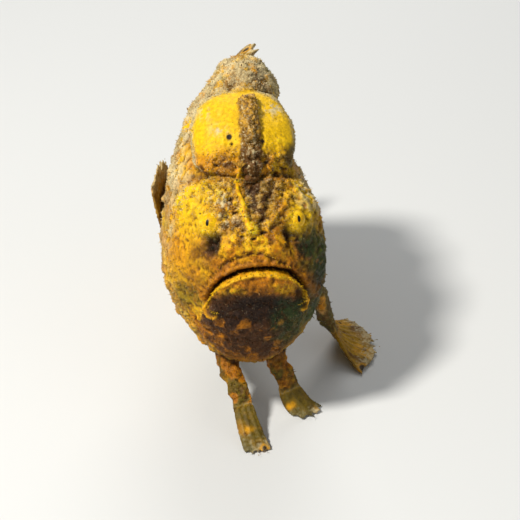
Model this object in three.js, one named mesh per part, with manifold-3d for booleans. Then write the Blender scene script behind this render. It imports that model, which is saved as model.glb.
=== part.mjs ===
// A life-size frogfish standing on its fins, head raised, right pectoral fin lifted.
// Millimetres. The fish is shaped lying level, snout at y = 0 and tail towards +Y, belly at z = 0,
// with its own right side at -X, and is then tilted nose-up so that four fins reach the floor.
import * as THREE from "three";
import { mergeVertices } from "three/addons/utils/BufferGeometryUtils.js";
import Module from "manifold-3d";

const wasm = await Module();
wasm.setup();

// Driving dimensions
const BODY_LENGTH = 105; // snout to the root of the tail fin
const NOSE_UP = THREE.MathUtils.degToRad(10);
const THROAT = new THREE.Vector3(0, 25, 3); // the fish tilts about this point
const THROAT_HEIGHT = 18.5; // of that point above the floor
const NECK_BEND = -4; // sideways shift of the body behind the head
const TAIL_BEND = 6; // and back again towards the tail
const GAP = 0.3; // between neighbouring pieces
const CUT = 0.4; // width of a parting cut
const EYE = { x: 11.9, y: 8.3, z: 51.7, radius: 2.7 };
const MOUTH = { top: 39.6, drop: 11, reach: 14.3, bow: 2.7 };
const JAW_HINGE = { y: 9.5, z: 26 };
const JAW_THROAT = { y: 23, z: -4 };
const HEAD_END = { top: 40, bottom: 31 }; // where the head's parting plane meets back and belly
const TRUNK_END = 88;

// Materials
const paint = (r, g, b, roughness) =>
  new THREE.MeshStandardMaterial({ color: new THREE.Color(r, g, b), roughness, metalness: 0 });
const SKIN = paint(0.8, 0.52, 0.03, 0.65);
const FLANK = paint(0.62, 0.43, 0.12, 0.75);
const SPINE = paint(0.34, 0.19, 0.05, 0.75);
const FIN = paint(0.6, 0.42, 0.1, 0.7);
const LURE = paint(0.78, 0.68, 0.46, 0.7);
const EYEBALL = paint(0.08, 0.05, 0.02, 0.1);

// A smooth curve through [distance behind the snout, value] pairs, blunt at the snout because it
// runs over the square root of the distance. It never overshoots its pairs.
function profile(pairs) {
  const q = pairs.map(([y]) => Math.sqrt(y));
  const v = pairs.map(([, value]) => value);
  const rise = v.slice(1).map((value, i) => (value - v[i]) / (q[i + 1] - q[i]));
  const slope = v.map((_, i) => {
    if (i === 0) return rise[0];
    if (i === rise.length) return rise[i - 1];
    return rise[i - 1] * rise[i] > 0 ? (2 * rise[i - 1] * rise[i]) / (rise[i - 1] + rise[i]) : 0;
  });
  return (y) => {
    const at = THREE.MathUtils.clamp(Math.sqrt(Math.max(y, 0)), q[0], q[q.length - 1]);
    let i = 0;
    while (i < rise.length - 1 && at > q[i + 1]) i++;
    const h = q[i + 1] - q[i];
    const t = (at - q[i]) / h;
    return (
      v[i] * (1 + 2 * t) * (1 - t) ** 2 +
      h * slope[i] * t * (1 - t) ** 2 +
      v[i + 1] * t * t * (3 - 2 * t) +
      h * slope[i + 1] * t * t * (t - 1)
    );
  };
}

const backLine = profile([
  [0, 39], [2, 46.5], [5, 53.5], [10, 60], [20, 68], [34, 76], [46, 80.5], [57, 81], [70, 72],
  [86, 52], [105, 41],
]);
const bellyLine = profile([
  [0, 39], [2, 26.5], [5, 18], [10, 9.5], [20, 2.6], [32, 0.4], [45, 0], [60, 3], [76, 12],
  [90, 22.5], [105, 27.5],
]);
const halfWidth = profile([
  [0, 0], [2, 9.5], [5, 14], [10, 18.2], [20, 22.8], [30, 23], [46, 19.8], [60, 16.4], [76, 11.2],
  [90, 6.4], [105, 3.8],
]);
const widestLine = profile([[0, 38], [10, 37], [32, 33.5], [60, 34], [90, 34.5], [105, 34.5]]);
const SQUARENESS = { above: 2.15, below: 1.9 }; // of the sections above and below the widest line

// Sideways shift of the body: to its right behind the head, and back again towards the tail
const bendAt = (y) =>
  NECK_BEND * THREE.MathUtils.smoothstep(y, 12, 42) +
  TAIL_BEND * (Math.max(y - 50, 0) / (BODY_LENGTH - 50)) ** 2;

// The large forms of the face: where each swells (+) or sinks (-), how wide it is and how far.
const bothSides = (x, y, z, width, rise) => [
  { at: new THREE.Vector3(x, y, z), width, rise },
  { at: new THREE.Vector3(-x, y, z), width, rise },
];
const FACE_FORMS = [
  ...bothSides(4.5, 0.8, 46, 5, 0.9), // snout pads
  { at: new THREE.Vector3(0, 2, 51), width: 3, rise: 1.2 }, // nose knob
  { at: new THREE.Vector3(1.8, 7.3, 58), width: 5, rise: 0.9 }, // ridge of the forehead
  ...bothSides(7, 2.8, 41.5, 3.6, 0.8), // upper lip
  ...bothSides(11, 6.3, 46.8, 2.8, -2.2), // hollows beside the snout
  ...bothSides(12.2, 7.4, 52.4, 4.2, 1.8), // rims of the eyes
  ...bothSides(15.5, 13, 57, 4.5, 1.1), // brows
  ...bothSides(18.5, 9.5, 38, 6, 1.2), // cheeks
  { at: new THREE.Vector3(0, 0, 36.6), width: 4.6, rise: 1.3 }, // middle of the lower lip
  ...bothSides(7, 1, 35, 4.4, 1.3), // sides of the lower lip
  ...bothSides(5, 3, 22.5, 4, 0.9), // lumps of the chin
];

function faceRise(p) {
  let rise = 0;
  for (const form of FACE_FORMS)
    rise += form.rise * Math.exp(-p.distanceToSquared(form.at) / form.width ** 2);
  return rise;
}

// The hump of the back, between the hood and the soft dorsal fin
const HUMP = { at: new THREE.Vector3(0.4, 50, 78), half: new THREE.Vector3(11.2, 18, 11.5) };

// Closed mesh from rings of points, each end closed to the ring's middle.
function closedLoft(rings) {
  const around = rings[0].length;
  const position = [];
  const index = [];
  for (const ring of rings) for (const p of ring) position.push(p.x, p.y, p.z);
  for (let i = 0; i + 1 < rings.length; i++)
    for (let j = 0; j < around; j++) {
      const a = i * around + j;
      const b = i * around + ((j + 1) % around);
      index.push(a, b, a + around, b, b + around, a + around);
    }
  for (const [ring, turn] of [[0, 1], [rings.length - 1, 0]]) {
    const middle = new THREE.Vector3();
    for (const p of rings[ring]) middle.addScaledVector(p, 1 / around);
    const pole = position.length / 3;
    position.push(middle.x, middle.y, middle.z);
    for (let j = 0; j < around; j++) {
      const a = ring * around + j;
      const b = ring * around + ((j + 1) % around);
      if (turn) index.push(pole, b, a);
      else index.push(pole, a, b);
    }
  }
  const geometry = new THREE.BufferGeometry();
  geometry.setAttribute("position", new THREE.Float32BufferAttribute(position, 3));
  geometry.setIndex(index);
  return geometry;
}

// A solid from a closed mesh, turned to face outwards.
function solid(geometry) {
  const bare = geometry.clone();
  for (const name of ["normal", "uv"]) bare.deleteAttribute(name);
  const merged = mergeVertices(bare, 1e-4);
  const build = () =>
    new wasm.Manifold(
      new wasm.Mesh({
        numProp: 3,
        vertProperties: new Float32Array(merged.attributes.position.array),
        triVerts: new Uint32Array(merged.index.array),
      }),
    );
  const made = build();
  if (made.volume() > 0) return made;
  const order = merged.index.array;
  for (let i = 0; i < order.length; i += 3) [order[i], order[i + 1]] = [order[i + 1], order[i]];
  return build();
}

// Only the largest body of a solid, without the slivers that a cut may leave.
function largest(cut) {
  return cut.decompose().reduce((a, b) => (b.volume() > a.volume() ? b : a));
}

const rounded = (value, power) => Math.sign(value) * Math.abs(value) ** power;

function meshOf(name, made, material) {
  const { vertProperties, triVerts, numProp } = largest(made).getMesh();
  const position = new Float32Array((vertProperties.length / numProp) * 3);
  for (let i = 0; i < position.length / 3; i++)
    position.set(vertProperties.subarray(i * numProp, i * numProp + 3), i * 3);
  const geometry = new THREE.BufferGeometry();
  geometry.setAttribute("position", new THREE.BufferAttribute(position, 3));
  geometry.setIndex(new THREE.BufferAttribute(new Uint32Array(triVerts), 1));
  geometry.computeVertexNormals();
  const mesh = new THREE.Mesh(geometry, material);
  mesh.name = name;
  return mesh;
}

// A rounded lump: a sphere stretched to three half-sizes and tilted about X. A power below 1 makes
// it boxier and one above 1 more pointed.
function lump(at, half, tilt = 0, detail = 24, power = 1, shape = null) {
  const geometry = new THREE.SphereGeometry(1, detail, Math.round(detail * 0.7));
  const position = geometry.attributes.position;
  const p = new THREE.Vector3();
  for (let i = 0; i < position.count; i++) {
    p.fromBufferAttribute(position, i);
    if (shape) p.multiplyScalar(1 + shape(p));
    position.setXYZ(
      i,
      rounded(p.x, power) * half.x,
      rounded(p.y, power) * half.y,
      rounded(p.z, power) * half.z,
    );
  }
  geometry.rotateX(tilt);
  geometry.translate(at.x, at.y, at.z);
  return solid(geometry);
}

// Body: head, trunk and tail root in one loft with the hump of the back behind the hood, its face
// pushed out and in by the face forms.
const BODY_RINGS = 31;
const BODY_SIDES = 28;
const RING_CROWDING = 1.75; // rings crowd towards the snout

function bodySolid(grow) {
  const rings = [];
  for (let i = 1; i <= BODY_RINGS; i++) {
    const y = BODY_LENGTH * (i / BODY_RINGS) ** RING_CROWDING;
    const middle = widestLine(y);
    const ring = [];
    for (let j = 0; j < BODY_SIDES; j++) {
      const turn = (2 * Math.PI * j) / BODY_SIDES;
      const power = 2 / (Math.sin(turn) > 0 ? SQUARENESS.above : SQUARENESS.below);
      const across = rounded(Math.cos(turn), power);
      const up = rounded(Math.sin(turn), power);
      const tall = up > 0 ? backLine(y) - middle : middle - bellyLine(y);
      ring.push(new THREE.Vector3(bendAt(y) + across * halfWidth(y), y, middle + up * tall));
    }
    rings.push(ring);
  }
  const geometry = closedLoft(rings);
  geometry.computeVertexNormals();
  const position = geometry.attributes.position;
  const normal = geometry.attributes.normal;
  const outward = normal.getZ(BODY_SIDES * 20 + BODY_SIDES / 4) > 0 ? 1 : -1;
  const p = new THREE.Vector3();
  const n = new THREE.Vector3();
  for (let i = 0; i < position.count; i++) {
    p.fromBufferAttribute(position, i);
    n.fromBufferAttribute(normal, i);
    p.addScaledVector(n, outward * (faceRise(p) + grow));
    position.setXYZ(i, p.x, p.y, p.z);
  }
  return solid(geometry).add(lump(HUMP.at, HUMP.half.clone().addScalar(grow), -0.1, 16, 1.25));
}

// A limb or spine: oval rings along a curve. sizes gives [half width, half thickness] pairs along it.
function limb(points, sizes, across, sides = 10, steps = 6) {
  const path = new THREE.CatmullRomCurve3(points);
  const rings = [];
  for (let i = 0; i <= steps; i++) {
    const t = i / steps;
    const middle = path.getPoint(t);
    const along = path.getTangent(t);
    const wide = across.clone().addScaledVector(along, -across.dot(along)).normalize();
    const thick = new THREE.Vector3().crossVectors(along, wide);
    const place = t * (sizes.length - 1);
    const k = Math.min(Math.floor(place), sizes.length - 2);
    const share = place - k;
    const halfWide = THREE.MathUtils.lerp(sizes[k][0], sizes[k + 1][0], share);
    const halfThick = THREE.MathUtils.lerp(sizes[k][1], sizes[k + 1][1], share);
    const ring = [];
    for (let j = 0; j < sides; j++) {
      const turn = (2 * Math.PI * j) / sides;
      ring.push(
        middle
          .clone()
          .addScaledVector(wide, Math.cos(turn) * halfWide)
          .addScaledVector(thick, Math.sin(turn) * halfThick),
      );
    }
    rings.push(ring);
  }
  return solid(closedLoft(rings));
}

const grown = (sizes, by) => sizes.map(([wide, thick]) => [wide + by, thick + by]);

// A fin: its rays are curves, with webs between them that stop short of the ray tips.
function fin(rays, { steps = 5, rayThick = [1.5, 0.8], webThick = 0.75, webShare = 0.9 }) {
  const columns = [];
  for (let r = 0; r < rays.length; r++) {
    columns.push({ curve: (t) => rays[r].getPoint(t), ray: true });
    if (r + 1 < rays.length)
      columns.push({
        curve: (t) => rays[r].getPoint(t * webShare).lerp(rays[r + 1].getPoint(t * webShare), 0.5),
        ray: false,
      });
  }
  const grid = columns.map(({ curve }) =>
    Array.from({ length: steps + 1 }, (_, s) => curve(s / steps)),
  );
  const facing = (c, s) => {
    const across = grid[Math.min(c + 1, grid.length - 1)][s].clone().sub(grid[Math.max(c - 1, 0)][s]);
    const along = grid[c][Math.min(s + 1, steps)].clone().sub(grid[c][Math.max(s - 1, 0)]);
    return across.cross(along).normalize();
  };
  const sheets = [1, -1].map((side) =>
    grid.map((column, c) =>
      column.map((p, s) => {
        const t = s / steps;
        const thick = columns[c].ray ? THREE.MathUtils.lerp(rayThick[0], rayThick[1], t) : webThick;
        return p.clone().addScaledVector(facing(c, s), (side * thick) / 2);
      }),
    ),
  );
  const wide = grid.length;
  const tall = steps + 1;
  const position = [];
  for (const sheet of sheets)
    for (const column of sheet) for (const p of column) position.push(p.x, p.y, p.z);
  const index = [];
  const at = (side, c, s) => side * wide * tall + c * tall + s;
  const quad = (a, b, c, d) => index.push(a, b, c, a, c, d);
  for (let c = 0; c + 1 < wide; c++)
    for (let s = 0; s + 1 < tall; s++) {
      quad(at(0, c, s), at(0, c + 1, s), at(0, c + 1, s + 1), at(0, c, s + 1));
      quad(at(1, c, s), at(1, c, s + 1), at(1, c + 1, s + 1), at(1, c + 1, s));
    }
  for (let c = 0; c + 1 < wide; c++) {
    quad(at(0, c, 0), at(1, c, 0), at(1, c + 1, 0), at(0, c + 1, 0));
    quad(at(0, c, steps), at(0, c + 1, steps), at(1, c + 1, steps), at(1, c, steps));
  }
  for (let s = 0; s + 1 < tall; s++) {
    quad(at(0, 0, s), at(0, 0, s + 1), at(1, 0, s + 1), at(1, 0, s));
    quad(at(0, wide - 1, s), at(1, wide - 1, s), at(1, wide - 1, s + 1), at(0, wide - 1, s + 1));
  }
  const geometry = new THREE.BufferGeometry();
  geometry.setAttribute("position", new THREE.Float32BufferAttribute(position, 3));
  geometry.setIndex(index);
  return solid(geometry);
}

// A ray that leaves its root in one direction and bends towards another point before its tip.
const ray = (root, knee, tip) => new THREE.QuadraticBezierCurve3(root, knee, tip);
const point = (x, y, z) => new THREE.Vector3(x, y, z);
const between = THREE.MathUtils.lerp;

// Where the fish stands
const stance = new THREE.Matrix4()
  .makeTranslation(0, 0, THROAT_HEIGHT)
  .multiply(new THREE.Matrix4().makeRotationX(-NOSE_UP))
  .multiply(new THREE.Matrix4().makeTranslation(-THROAT.x, -THROAT.y, -THROAT.z));
const unstance = stance.clone().invert();
const onFloor = (x, y, z = 0) => point(x, y - THROAT.y, z).applyMatrix4(unstance);

const floorBelow = solid(
  new THREE.BoxGeometry(400, 400, 40).translate(0, 0, -20).applyMatrix4(unstance),
);

// The space before (side -1) or behind (side 1) the sloping plane through two points at x = 0.
function halfSpace(low, high, side, shift = 0) {
  const geometry = new THREE.BoxGeometry(300, 200, 300);
  geometry.translate(0, side * 100 + shift, 0);
  geometry.rotateX(-Math.atan2(high.y - low.y, high.z - low.z));
  geometry.translate(0, low.y, low.z);
  return solid(geometry);
}

// The lower jaw's space: below the bow of the mouth, before a plane from jaw hinge to throat.
function jawSpace(grow) {
  const outline = new THREE.Shape();
  const lip = (x) =>
    MOUTH.top + grow - MOUTH.drop * Math.abs(x / MOUTH.reach) ** MOUTH.bow;
  const reach = MOUTH.reach + grow;
  const steps = 16;
  outline.moveTo(-reach, lip(reach));
  for (let i = 1; i <= steps; i++) {
    const x = reach * ((2 * i) / steps - 1);
    outline.lineTo(x, lip(x));
  }
  outline.quadraticCurveTo(reach * 1.25, 12, reach * 0.75, -30);
  outline.lineTo(-reach * 0.75, -30);
  outline.quadraticCurveTo(-reach * 1.25, 12, -reach, lip(reach));
  const geometry = new THREE.ExtrudeGeometry(outline, {
    depth: 60,
    bevelEnabled: false,
    curveSegments: 6,
  });
  geometry.rotateX(Math.PI / 2);
  geometry.scale(1, -1, 1);
  geometry.translate(0, -20, 0);
  return solid(geometry).intersect(halfSpace(JAW_THROAT, JAW_HINGE, -1, grow));
}

const body = bodySolid(0);
const bodyClear = bodySolid(GAP);
const headEndLow = point(0, HEAD_END.bottom, 0);
const headEndHigh = point(0, HEAD_END.top, backLine(HEAD_END.top));
const beforeHeadEnd = halfSpace(headEndLow, headEndHigh, -1);
const behindHeadEnd = halfSpace(headEndLow, headEndHigh, 1, CUT);
const behindTrunk = solid(new THREE.BoxGeometry(200, 100, 200).translate(0, TRUNK_END + 50, 0));
const behindTrunkClear = solid(
  new THREE.BoxGeometry(200, 100, 200).translate(0, TRUNK_END + 50 - CUT, 0),
);

// Eyes: balls sunk in round sockets
const ball = (side, radius) =>
  solid(new THREE.SphereGeometry(radius, 16, 10).translate(side * EYE.x, EYE.y, EYE.z));

// Second dorsal spine: a stubby column that stands out of the hood, behind the lure
const SPINE_2 = {
  points: [
    point(0.2, 10.8, 62.6), point(0.3, 14.2, 70.4), point(0.4, 20.4, 77.2), point(0.5, 26.8, 81),
    point(0.5, 28.6, 81.8),
  ],
  sizes: [[2, 1.8], [2.5, 2.5], [2.7, 3], [2.6, 2.8], [1.2, 1.2]],
};
const spine2 = (by) => limb(SPINE_2.points, grown(SPINE_2.sizes, by), point(1, 0, 0), 12, 8);

// Third dorsal spine: a broad smooth hood over the top of the head
const HOOD = { at: point(-1.2, 27.5, 69.5), half: point(15.2, 16.5, 10), tilt: 0.62, power: 0.86 };
const hoodGrown = (by) => lump(HOOD.at, HOOD.half.clone().addScalar(by), HOOD.tilt, 18, HOOD.power);
const hood = hoodGrown(0);

// Lure: a thin stalk rooted above the lip that lies back along the face, with a tufted tip
const STALK = {
  points: [
    point(-0.6, 1.8, 51.6), point(-2.3, 4.1, 53.9), point(-2.8, 6.8, 57.8), point(-3.3, 9.5, 61),
    point(-3.4, 11.4, 64),
  ],
  sizes: [[0.95, 0.95], [0.75, 0.75], [0.7, 0.7], [0.65, 0.65], [0.6, 0.6]],
};
const lure = limb(STALK.points, STALK.sizes, point(1, 0, 0), 7, 8).add(
  lump(point(-3.2, 11.2, 65.4), point(1.8, 1.2, 2.2), -0.6, 9, 1, (p) => 0.2 * Math.sin(9 * p.z)),
);

// Soft dorsal fin along the back, leaning over a little and swept back
const DORSAL = { rays: 13, from: 54, to: 97, lean: 11 };
const dorsalRays = Array.from({ length: DORSAL.rays }, (_, r) => {
  const t = r / (DORSAL.rays - 1);
  const y = between(DORSAL.from, DORSAL.to, t);
  const root = point(bendAt(y), y, backLine(y) - 2.5);
  const long = 10 + 6.5 * Math.sin(Math.PI * (0.1 + 0.75 * t));
  const tilt = between(1.05, 0.6, t);
  const lean = DORSAL.lean * Math.cos(Math.PI * (0.05 + 0.85 * t));
  const tip = root.clone().add(point(lean, long * Math.cos(tilt), long * Math.sin(tilt)));
  const knee = root.clone().add(point(0, 0.32 * long * Math.cos(tilt), 0.62 * long * Math.sin(tilt)));
  return ray(root, knee, tip);
});

// Anal fin under the tail root; its middle rays rest on the floor
const ANAL = { rays: 7, from: 75, to: 91 };
const ANAL_TIP_HEIGHT = [2.6, -0.5, -0.5, -0.5, -0.4, 3.4, 9];
const analRays = Array.from({ length: ANAL.rays }, (_, r) => {
  const t = r / (ANAL.rays - 1);
  const y = between(ANAL.from, ANAL.to, t);
  const root = point(bendAt(y), y, bellyLine(y) + 2.5);
  const tip = onFloor(bendAt(y) - 7 + 3 * t, between(78, 113, t), ANAL_TIP_HEIGHT[r]);
  const knee = onFloor(bendAt(y) - 4 + 2 * t, between(75, 99, t), 6 + 5 * t);
  return ray(root, knee, tip);
});

// Tail fin: a fan that carries on the sideways bend of the tail
const TAIL_FIN = { rays: 9, long: 27, spread: 0.62 };
const tailRays = Array.from({ length: TAIL_FIN.rays }, (_, r) => {
  const t = r / (TAIL_FIN.rays - 1);
  const angle = between(-TAIL_FIN.spread, TAIL_FIN.spread, t);
  const long = TAIL_FIN.long * (1 - 0.1 * Math.cos(Math.PI * (2 * t - 1)) ** 2 * (1 - t * (1 - t) * 4));
  const root = point(bendAt(BODY_LENGTH), BODY_LENGTH - 3, between(29.2, 39.2, t));
  const knee = root.clone().add(point(2, 0.5 * long, 0.22 * long * Math.sin(angle)));
  const tip = root.clone().add(point(7, long * Math.cos(angle) - 1, long * Math.sin(angle)));
  return ray(root, knee, tip);
});

// A hand: a fan of rays from a wrist. tips places each ray's tip and knees its bend.
function handRays(count, wrist, spread, knees, tips) {
  return Array.from({ length: count }, (_, r) => {
    const t = r / (count - 1);
    return ray(wrist.clone().addScaledVector(spread, 2 * t - 1), knees(t), tips(t));
  });
}

// Right pectoral fin: lifted beside the flank, its fan open upwards
const rightArm = limb(
  [point(-15, 44, 20), point(-20, 47, 25), point(-22.8, 49.3, 31), point(-23.6, 49.5, 37)],
  [[5.5, 4.2], [4.8, 3.4], [5.2, 2], [5.6, 0.6]],
  point(0, 1, 0.3),
);
const rightHand = fin(
  handRays(
    10,
    point(-23.4, 49.5, 31.5),
    point(0, -4.8, 0.5),
    (t) => point(between(-22.5, -27.5, t), between(58, 38.5, t), between(40, 46, t)),
    (t) => {
      const turn = between(-0.62, 0.42, t);
      const long = 27 - 4 * (2 * t - 1) ** 2;
      return point(between(-21.5, -28, t), 49.5 - long * Math.sin(turn), 32 + long * Math.cos(turn));
    },
  ),
  { steps: 4, rayThick: [1.7, 0.9], webShare: 0.86 },
);

// Left pectoral fin: reaches down beside the belly and stands on its spread rays
const leftArm = limb(
  [point(12, 44, 21), point(21, 48, 15), onFloor(28, 53, 9), onFloor(32, 53, 3.5)],
  [[5.5, 4.6], [4.6, 3.6], [5, 2.2], [6, 0.6]],
  point(0, 1, 0),
);
const leftHand = fin(
  handRays(
    10,
    onFloor(28, 53, 9),
    point(-0.5, 4.4, 0),
    (t) => onFloor(32.5, between(41, 65, t), 1.8),
    (t) => {
      const turn = between(-1.15, 1.15, t);
      return onFloor(30 + 15.5 * Math.cos(turn), 53 + 18 * Math.sin(turn), -0.45);
    },
  ),
  { steps: 4, rayThick: [1.8, 1], webShare: 0.84 },
);

// Pelvic fins: short limbs under the throat that stand on long rays
function pelvicFin(side, { palm, footX, footY, turn, spread }) {
  const foot = onFloor(footX, footY, 0);
  const down = foot.clone().sub(palm);
  const arm = limb(
    [
      point(side * 7.5, 27, 9), point(side * 7.2, 24, 1.5), palm,
      palm.clone().addScaledVector(down, 0.3),
    ],
    [[4, 3.6], [3.6, 3], [3.4, 1.7], [3.4, 0.6]],
    point(1, 0, 0),
  );
  const hand = fin(
    handRays(
      5,
      palm.clone().addScaledVector(down, -0.08),
      point(2.6, 0, 0),
      (t) =>
        palm.clone().addScaledVector(down, 0.62).add(point(between(-6, 6, t) * spread, 1.5, -2.6)),
      (t) => {
        const fan = between(-1, 1, t) * spread + turn;
        const long = 9.5 - 2.6 * (2 * t - 1) ** 2;
        return onFloor(footX + long * Math.sin(fan), footY + 4 - long * Math.cos(fan), -0.45);
      },
    ),
    { steps: 5, rayThick: [1.9, 1.1], webShare: 0.8 },
  );
  return arm.add(hand);
}
const rightPelvic = pelvicFin(-1, {
  palm: point(-4.6, 18.5, -4.6),
  footX: -0.6,
  footY: 2.6,
  turn: 0.1,
  spread: 0.62,
});
const leftPelvic = pelvicFin(1, {
  palm: point(10.5, 23, -5.2),
  footX: 15,
  footY: 19,
  turn: 0.45,
  spread: 0.9,
});

// Gill openings: small round pores behind the pectoral arms
const pore = (side) =>
  solid(new THREE.SphereGeometry(1.3, 12, 8).translate(bendAt(57) + side * 16.4, 57, 17.5));

const headWhole = body.intersect(beforeHeadEnd);
const head = headWhole
  .subtract(jawSpace(CUT))
  .subtract(ball(1, EYE.radius + GAP))
  .subtract(ball(-1, EYE.radius + GAP));
const jaw = headWhole.intersect(jawSpace(0));
const trunk = body
  .intersect(behindHeadEnd)
  .subtract(behindTrunkClear)
  .subtract(pore(1))
  .subtract(pore(-1));
const tail = body.intersect(behindTrunk);

const offBody = (made) => made.subtract(bodyClear);
const onItsFeet = (made) => offBody(made).subtract(floorBelow);

const fish = new THREE.Group();
fish.name = "frogfish";
fish.add(
  meshOf("head", head, SKIN),
  meshOf("lower_jaw", jaw, SKIN),
  meshOf("trunk", trunk, FLANK),
  meshOf("tail_root", tail, FLANK),
  meshOf("eye_left", ball(1, EYE.radius), EYEBALL),
  meshOf("eye_right", ball(-1, EYE.radius), EYEBALL),
  meshOf("lure", offBody(lure).subtract(spine2(GAP)).subtract(hoodGrown(GAP)), LURE),
  meshOf("dorsal_spine_2", offBody(spine2(0)), SPINE),
  meshOf("dorsal_spine_3", offBody(hood).subtract(spine2(GAP)), SKIN),
  meshOf("dorsal_fin", offBody(fin(dorsalRays, { steps: 4 })).subtract(hoodGrown(GAP)), FIN),
  meshOf("anal_fin", onItsFeet(fin(analRays, { steps: 4, rayThick: [1.7, 1] })), FIN),
  meshOf("tail_fin", offBody(fin(tailRays, { steps: 4 })), FIN),
  meshOf("pectoral_fin_right", offBody(rightArm.add(rightHand)), FLANK),
  meshOf("pectoral_fin_left", onItsFeet(leftArm.add(leftHand)), FLANK),
  meshOf("pelvic_fin_right", onItsFeet(rightPelvic), FIN),
  meshOf("pelvic_fin_left", onItsFeet(leftPelvic), FIN),
);
fish.applyMatrix4(stance);

const group = new THREE.Group();
group.add(fish);
group.updateMatrixWorld(true);
const bounds = new THREE.Box3().setFromObject(group, true);
const centre = bounds.getCenter(new THREE.Vector3());
fish.position.x -= centre.x;
fish.position.y -= centre.y;
export default group;
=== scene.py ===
import math

import bpy
import numpy as np
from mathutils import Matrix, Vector
from mathutils.kdtree import KDTree


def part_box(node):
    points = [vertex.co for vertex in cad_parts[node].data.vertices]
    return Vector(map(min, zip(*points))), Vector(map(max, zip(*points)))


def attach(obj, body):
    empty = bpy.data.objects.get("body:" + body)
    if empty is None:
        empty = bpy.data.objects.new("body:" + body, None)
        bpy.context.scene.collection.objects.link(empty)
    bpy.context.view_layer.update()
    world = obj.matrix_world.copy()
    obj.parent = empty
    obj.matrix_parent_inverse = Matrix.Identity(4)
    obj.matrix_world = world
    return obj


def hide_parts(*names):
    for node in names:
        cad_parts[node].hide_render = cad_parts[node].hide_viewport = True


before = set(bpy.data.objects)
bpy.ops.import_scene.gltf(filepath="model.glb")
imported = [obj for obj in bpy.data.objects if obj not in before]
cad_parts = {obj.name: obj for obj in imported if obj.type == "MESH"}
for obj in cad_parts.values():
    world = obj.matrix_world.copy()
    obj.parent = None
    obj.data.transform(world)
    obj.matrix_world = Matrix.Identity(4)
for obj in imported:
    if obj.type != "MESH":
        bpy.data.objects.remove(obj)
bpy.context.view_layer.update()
rng = np.random.default_rng(11)
MM = 0.001

# Sizes shared with the solids
BODY_LENGTH = 105
NOSE_UP = math.radians(10)
THROAT = np.array([0, 25, 3.0])
THROAT_HEIGHT = 18.5
NECK_BEND = -4
TAIL_BEND = 6
EYE_AT = np.array([11.9, 8.3, 51.7])
EYE_RADIUS = 2.7
BACK_LINE = [
    (0, 39), (2, 46.5), (5, 53.5), (10, 60), (20, 68), (34, 76), (46, 80.5), (57, 81), (70, 72),
    (86, 52), (105, 41),
]
BELLY_LINE = [
    (0, 39), (2, 26.5), (5, 18), (10, 9.5), (20, 2.6), (32, 0.4), (45, 0), (60, 3), (76, 12),
    (90, 22.5), (105, 27.5),
]
HALF_WIDTH = [
    (0, 0), (2, 9.5), (5, 14), (10, 18.2), (20, 22.8), (30, 23), (46, 19.8), (60, 16.4), (76, 11.2),
    (90, 6.4), (105, 3.8),
]
WIDEST_LINE = [(0, 38), (10, 37), (32, 33.5), (60, 34), (90, 34.5), (105, 34.5)]
SQUARENESS = (2.15, 1.9)  # of the cross-sections above and below their widest line
HOOD_AT = (-1.2, 27.5, 69.5)
HOOD_HALF = (15.2, 16.5, 10)
HOOD_TILT = 0.62
HUMP_AT = (0.4, 50, 78)
HUMP_HALF = (11.2, 18, 11.5)
COLUMN_PATH = [(0.2, 10.8, 62.6), (0.3, 14.2, 70.4), (0.4, 20.4, 77.2), (0.5, 26.8, 81), (0.5, 28.6, 81.8)]
COLUMN_SIZES = [(2, 1.8), (2.5, 2.5), (2.7, 3), (2.6, 2.8), (1.2, 1.2)]
DORSAL_ROOT = (54, 97)  # distances behind the snout
DORSAL_RAYS = 13
ANAL_ROOT = (75, 91)
ANAL_TIP_HEIGHTS = [2.6, 0, 0, 0, 0, 3.4, 9]  # the solids' go a little lower and are cut flat at the floor
TAIL_ROOT = (29.2, 39.2)  # heights of its lowest and highest rays
TAIL_LENGTH = 27
TAIL_RAYS = 9
PECTORAL_LENGTH = 27
PECTORAL_RAYS = 10
PELVIC_LENGTH = 9.5
PELVIC_RAYS = 5

# The skin and its coat
VOXEL = 0.36
COAT_DEPTH = 0.45

# The camera, by which the marks of the face are placed
VIEW_TURN = math.radians(-5)
VIEW_RISE = math.radians(31)
VIEW_DISTANCE = 390
LENS = 97
SENSOR = 36
PICTURE = 520
AIM = np.array([1.3, 3, 42])


def point(*values):
    return np.array(values, dtype=float)


def smooth_step(low, high, x):
    t = np.clip((x - low) / (high - low), 0, 1)
    return t * t * (3 - 2 * t)


def mix(a, b, share):
    return a + (b - a) * share


def rounded(value, power):
    return np.sign(value) * np.abs(value) ** power


def unit(v):
    return v / np.linalg.norm(v, axis=-1, keepdims=True)


# Places on the fish and in the world


def tilt_up(p):
    """From the level fish to the world's axes, with the throat at its height, in millimetres."""
    x, y, z = np.moveaxis(np.asarray(p, dtype=float) - THROAT, -1, 0)
    c, s = math.cos(NOSE_UP), math.sin(NOSE_UP)
    return np.stack([x, c * y + s * z, c * z - s * y + THROAT_HEIGHT], -1)


def tilt_down(x, y, z):
    """A direction in the world's axes, as it lies on the level fish."""
    c, s = math.cos(NOSE_UP), math.sin(NOSE_UP)
    return point(x, c * y - s * z, s * y + c * z)


def on_floor(x, y, z=0.0):
    """The point of the level fish that ends up at height z, with y measured from under the snout."""
    return tilt_down(x, y - THROAT[1], z - THROAT_HEIGHT) + THROAT


eye_boxes = [np.array(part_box(name)) for name in ("eye_left", "eye_right")]
eyes_middle = (eye_boxes[0] + eye_boxes[1]).mean(axis=0) / 2 / MM
SHIFT = eyes_middle - tilt_up(EYE_AT * (0, 1, 1))


def to_world(p):
    return (tilt_up(p) + SHIFT) * MM


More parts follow.
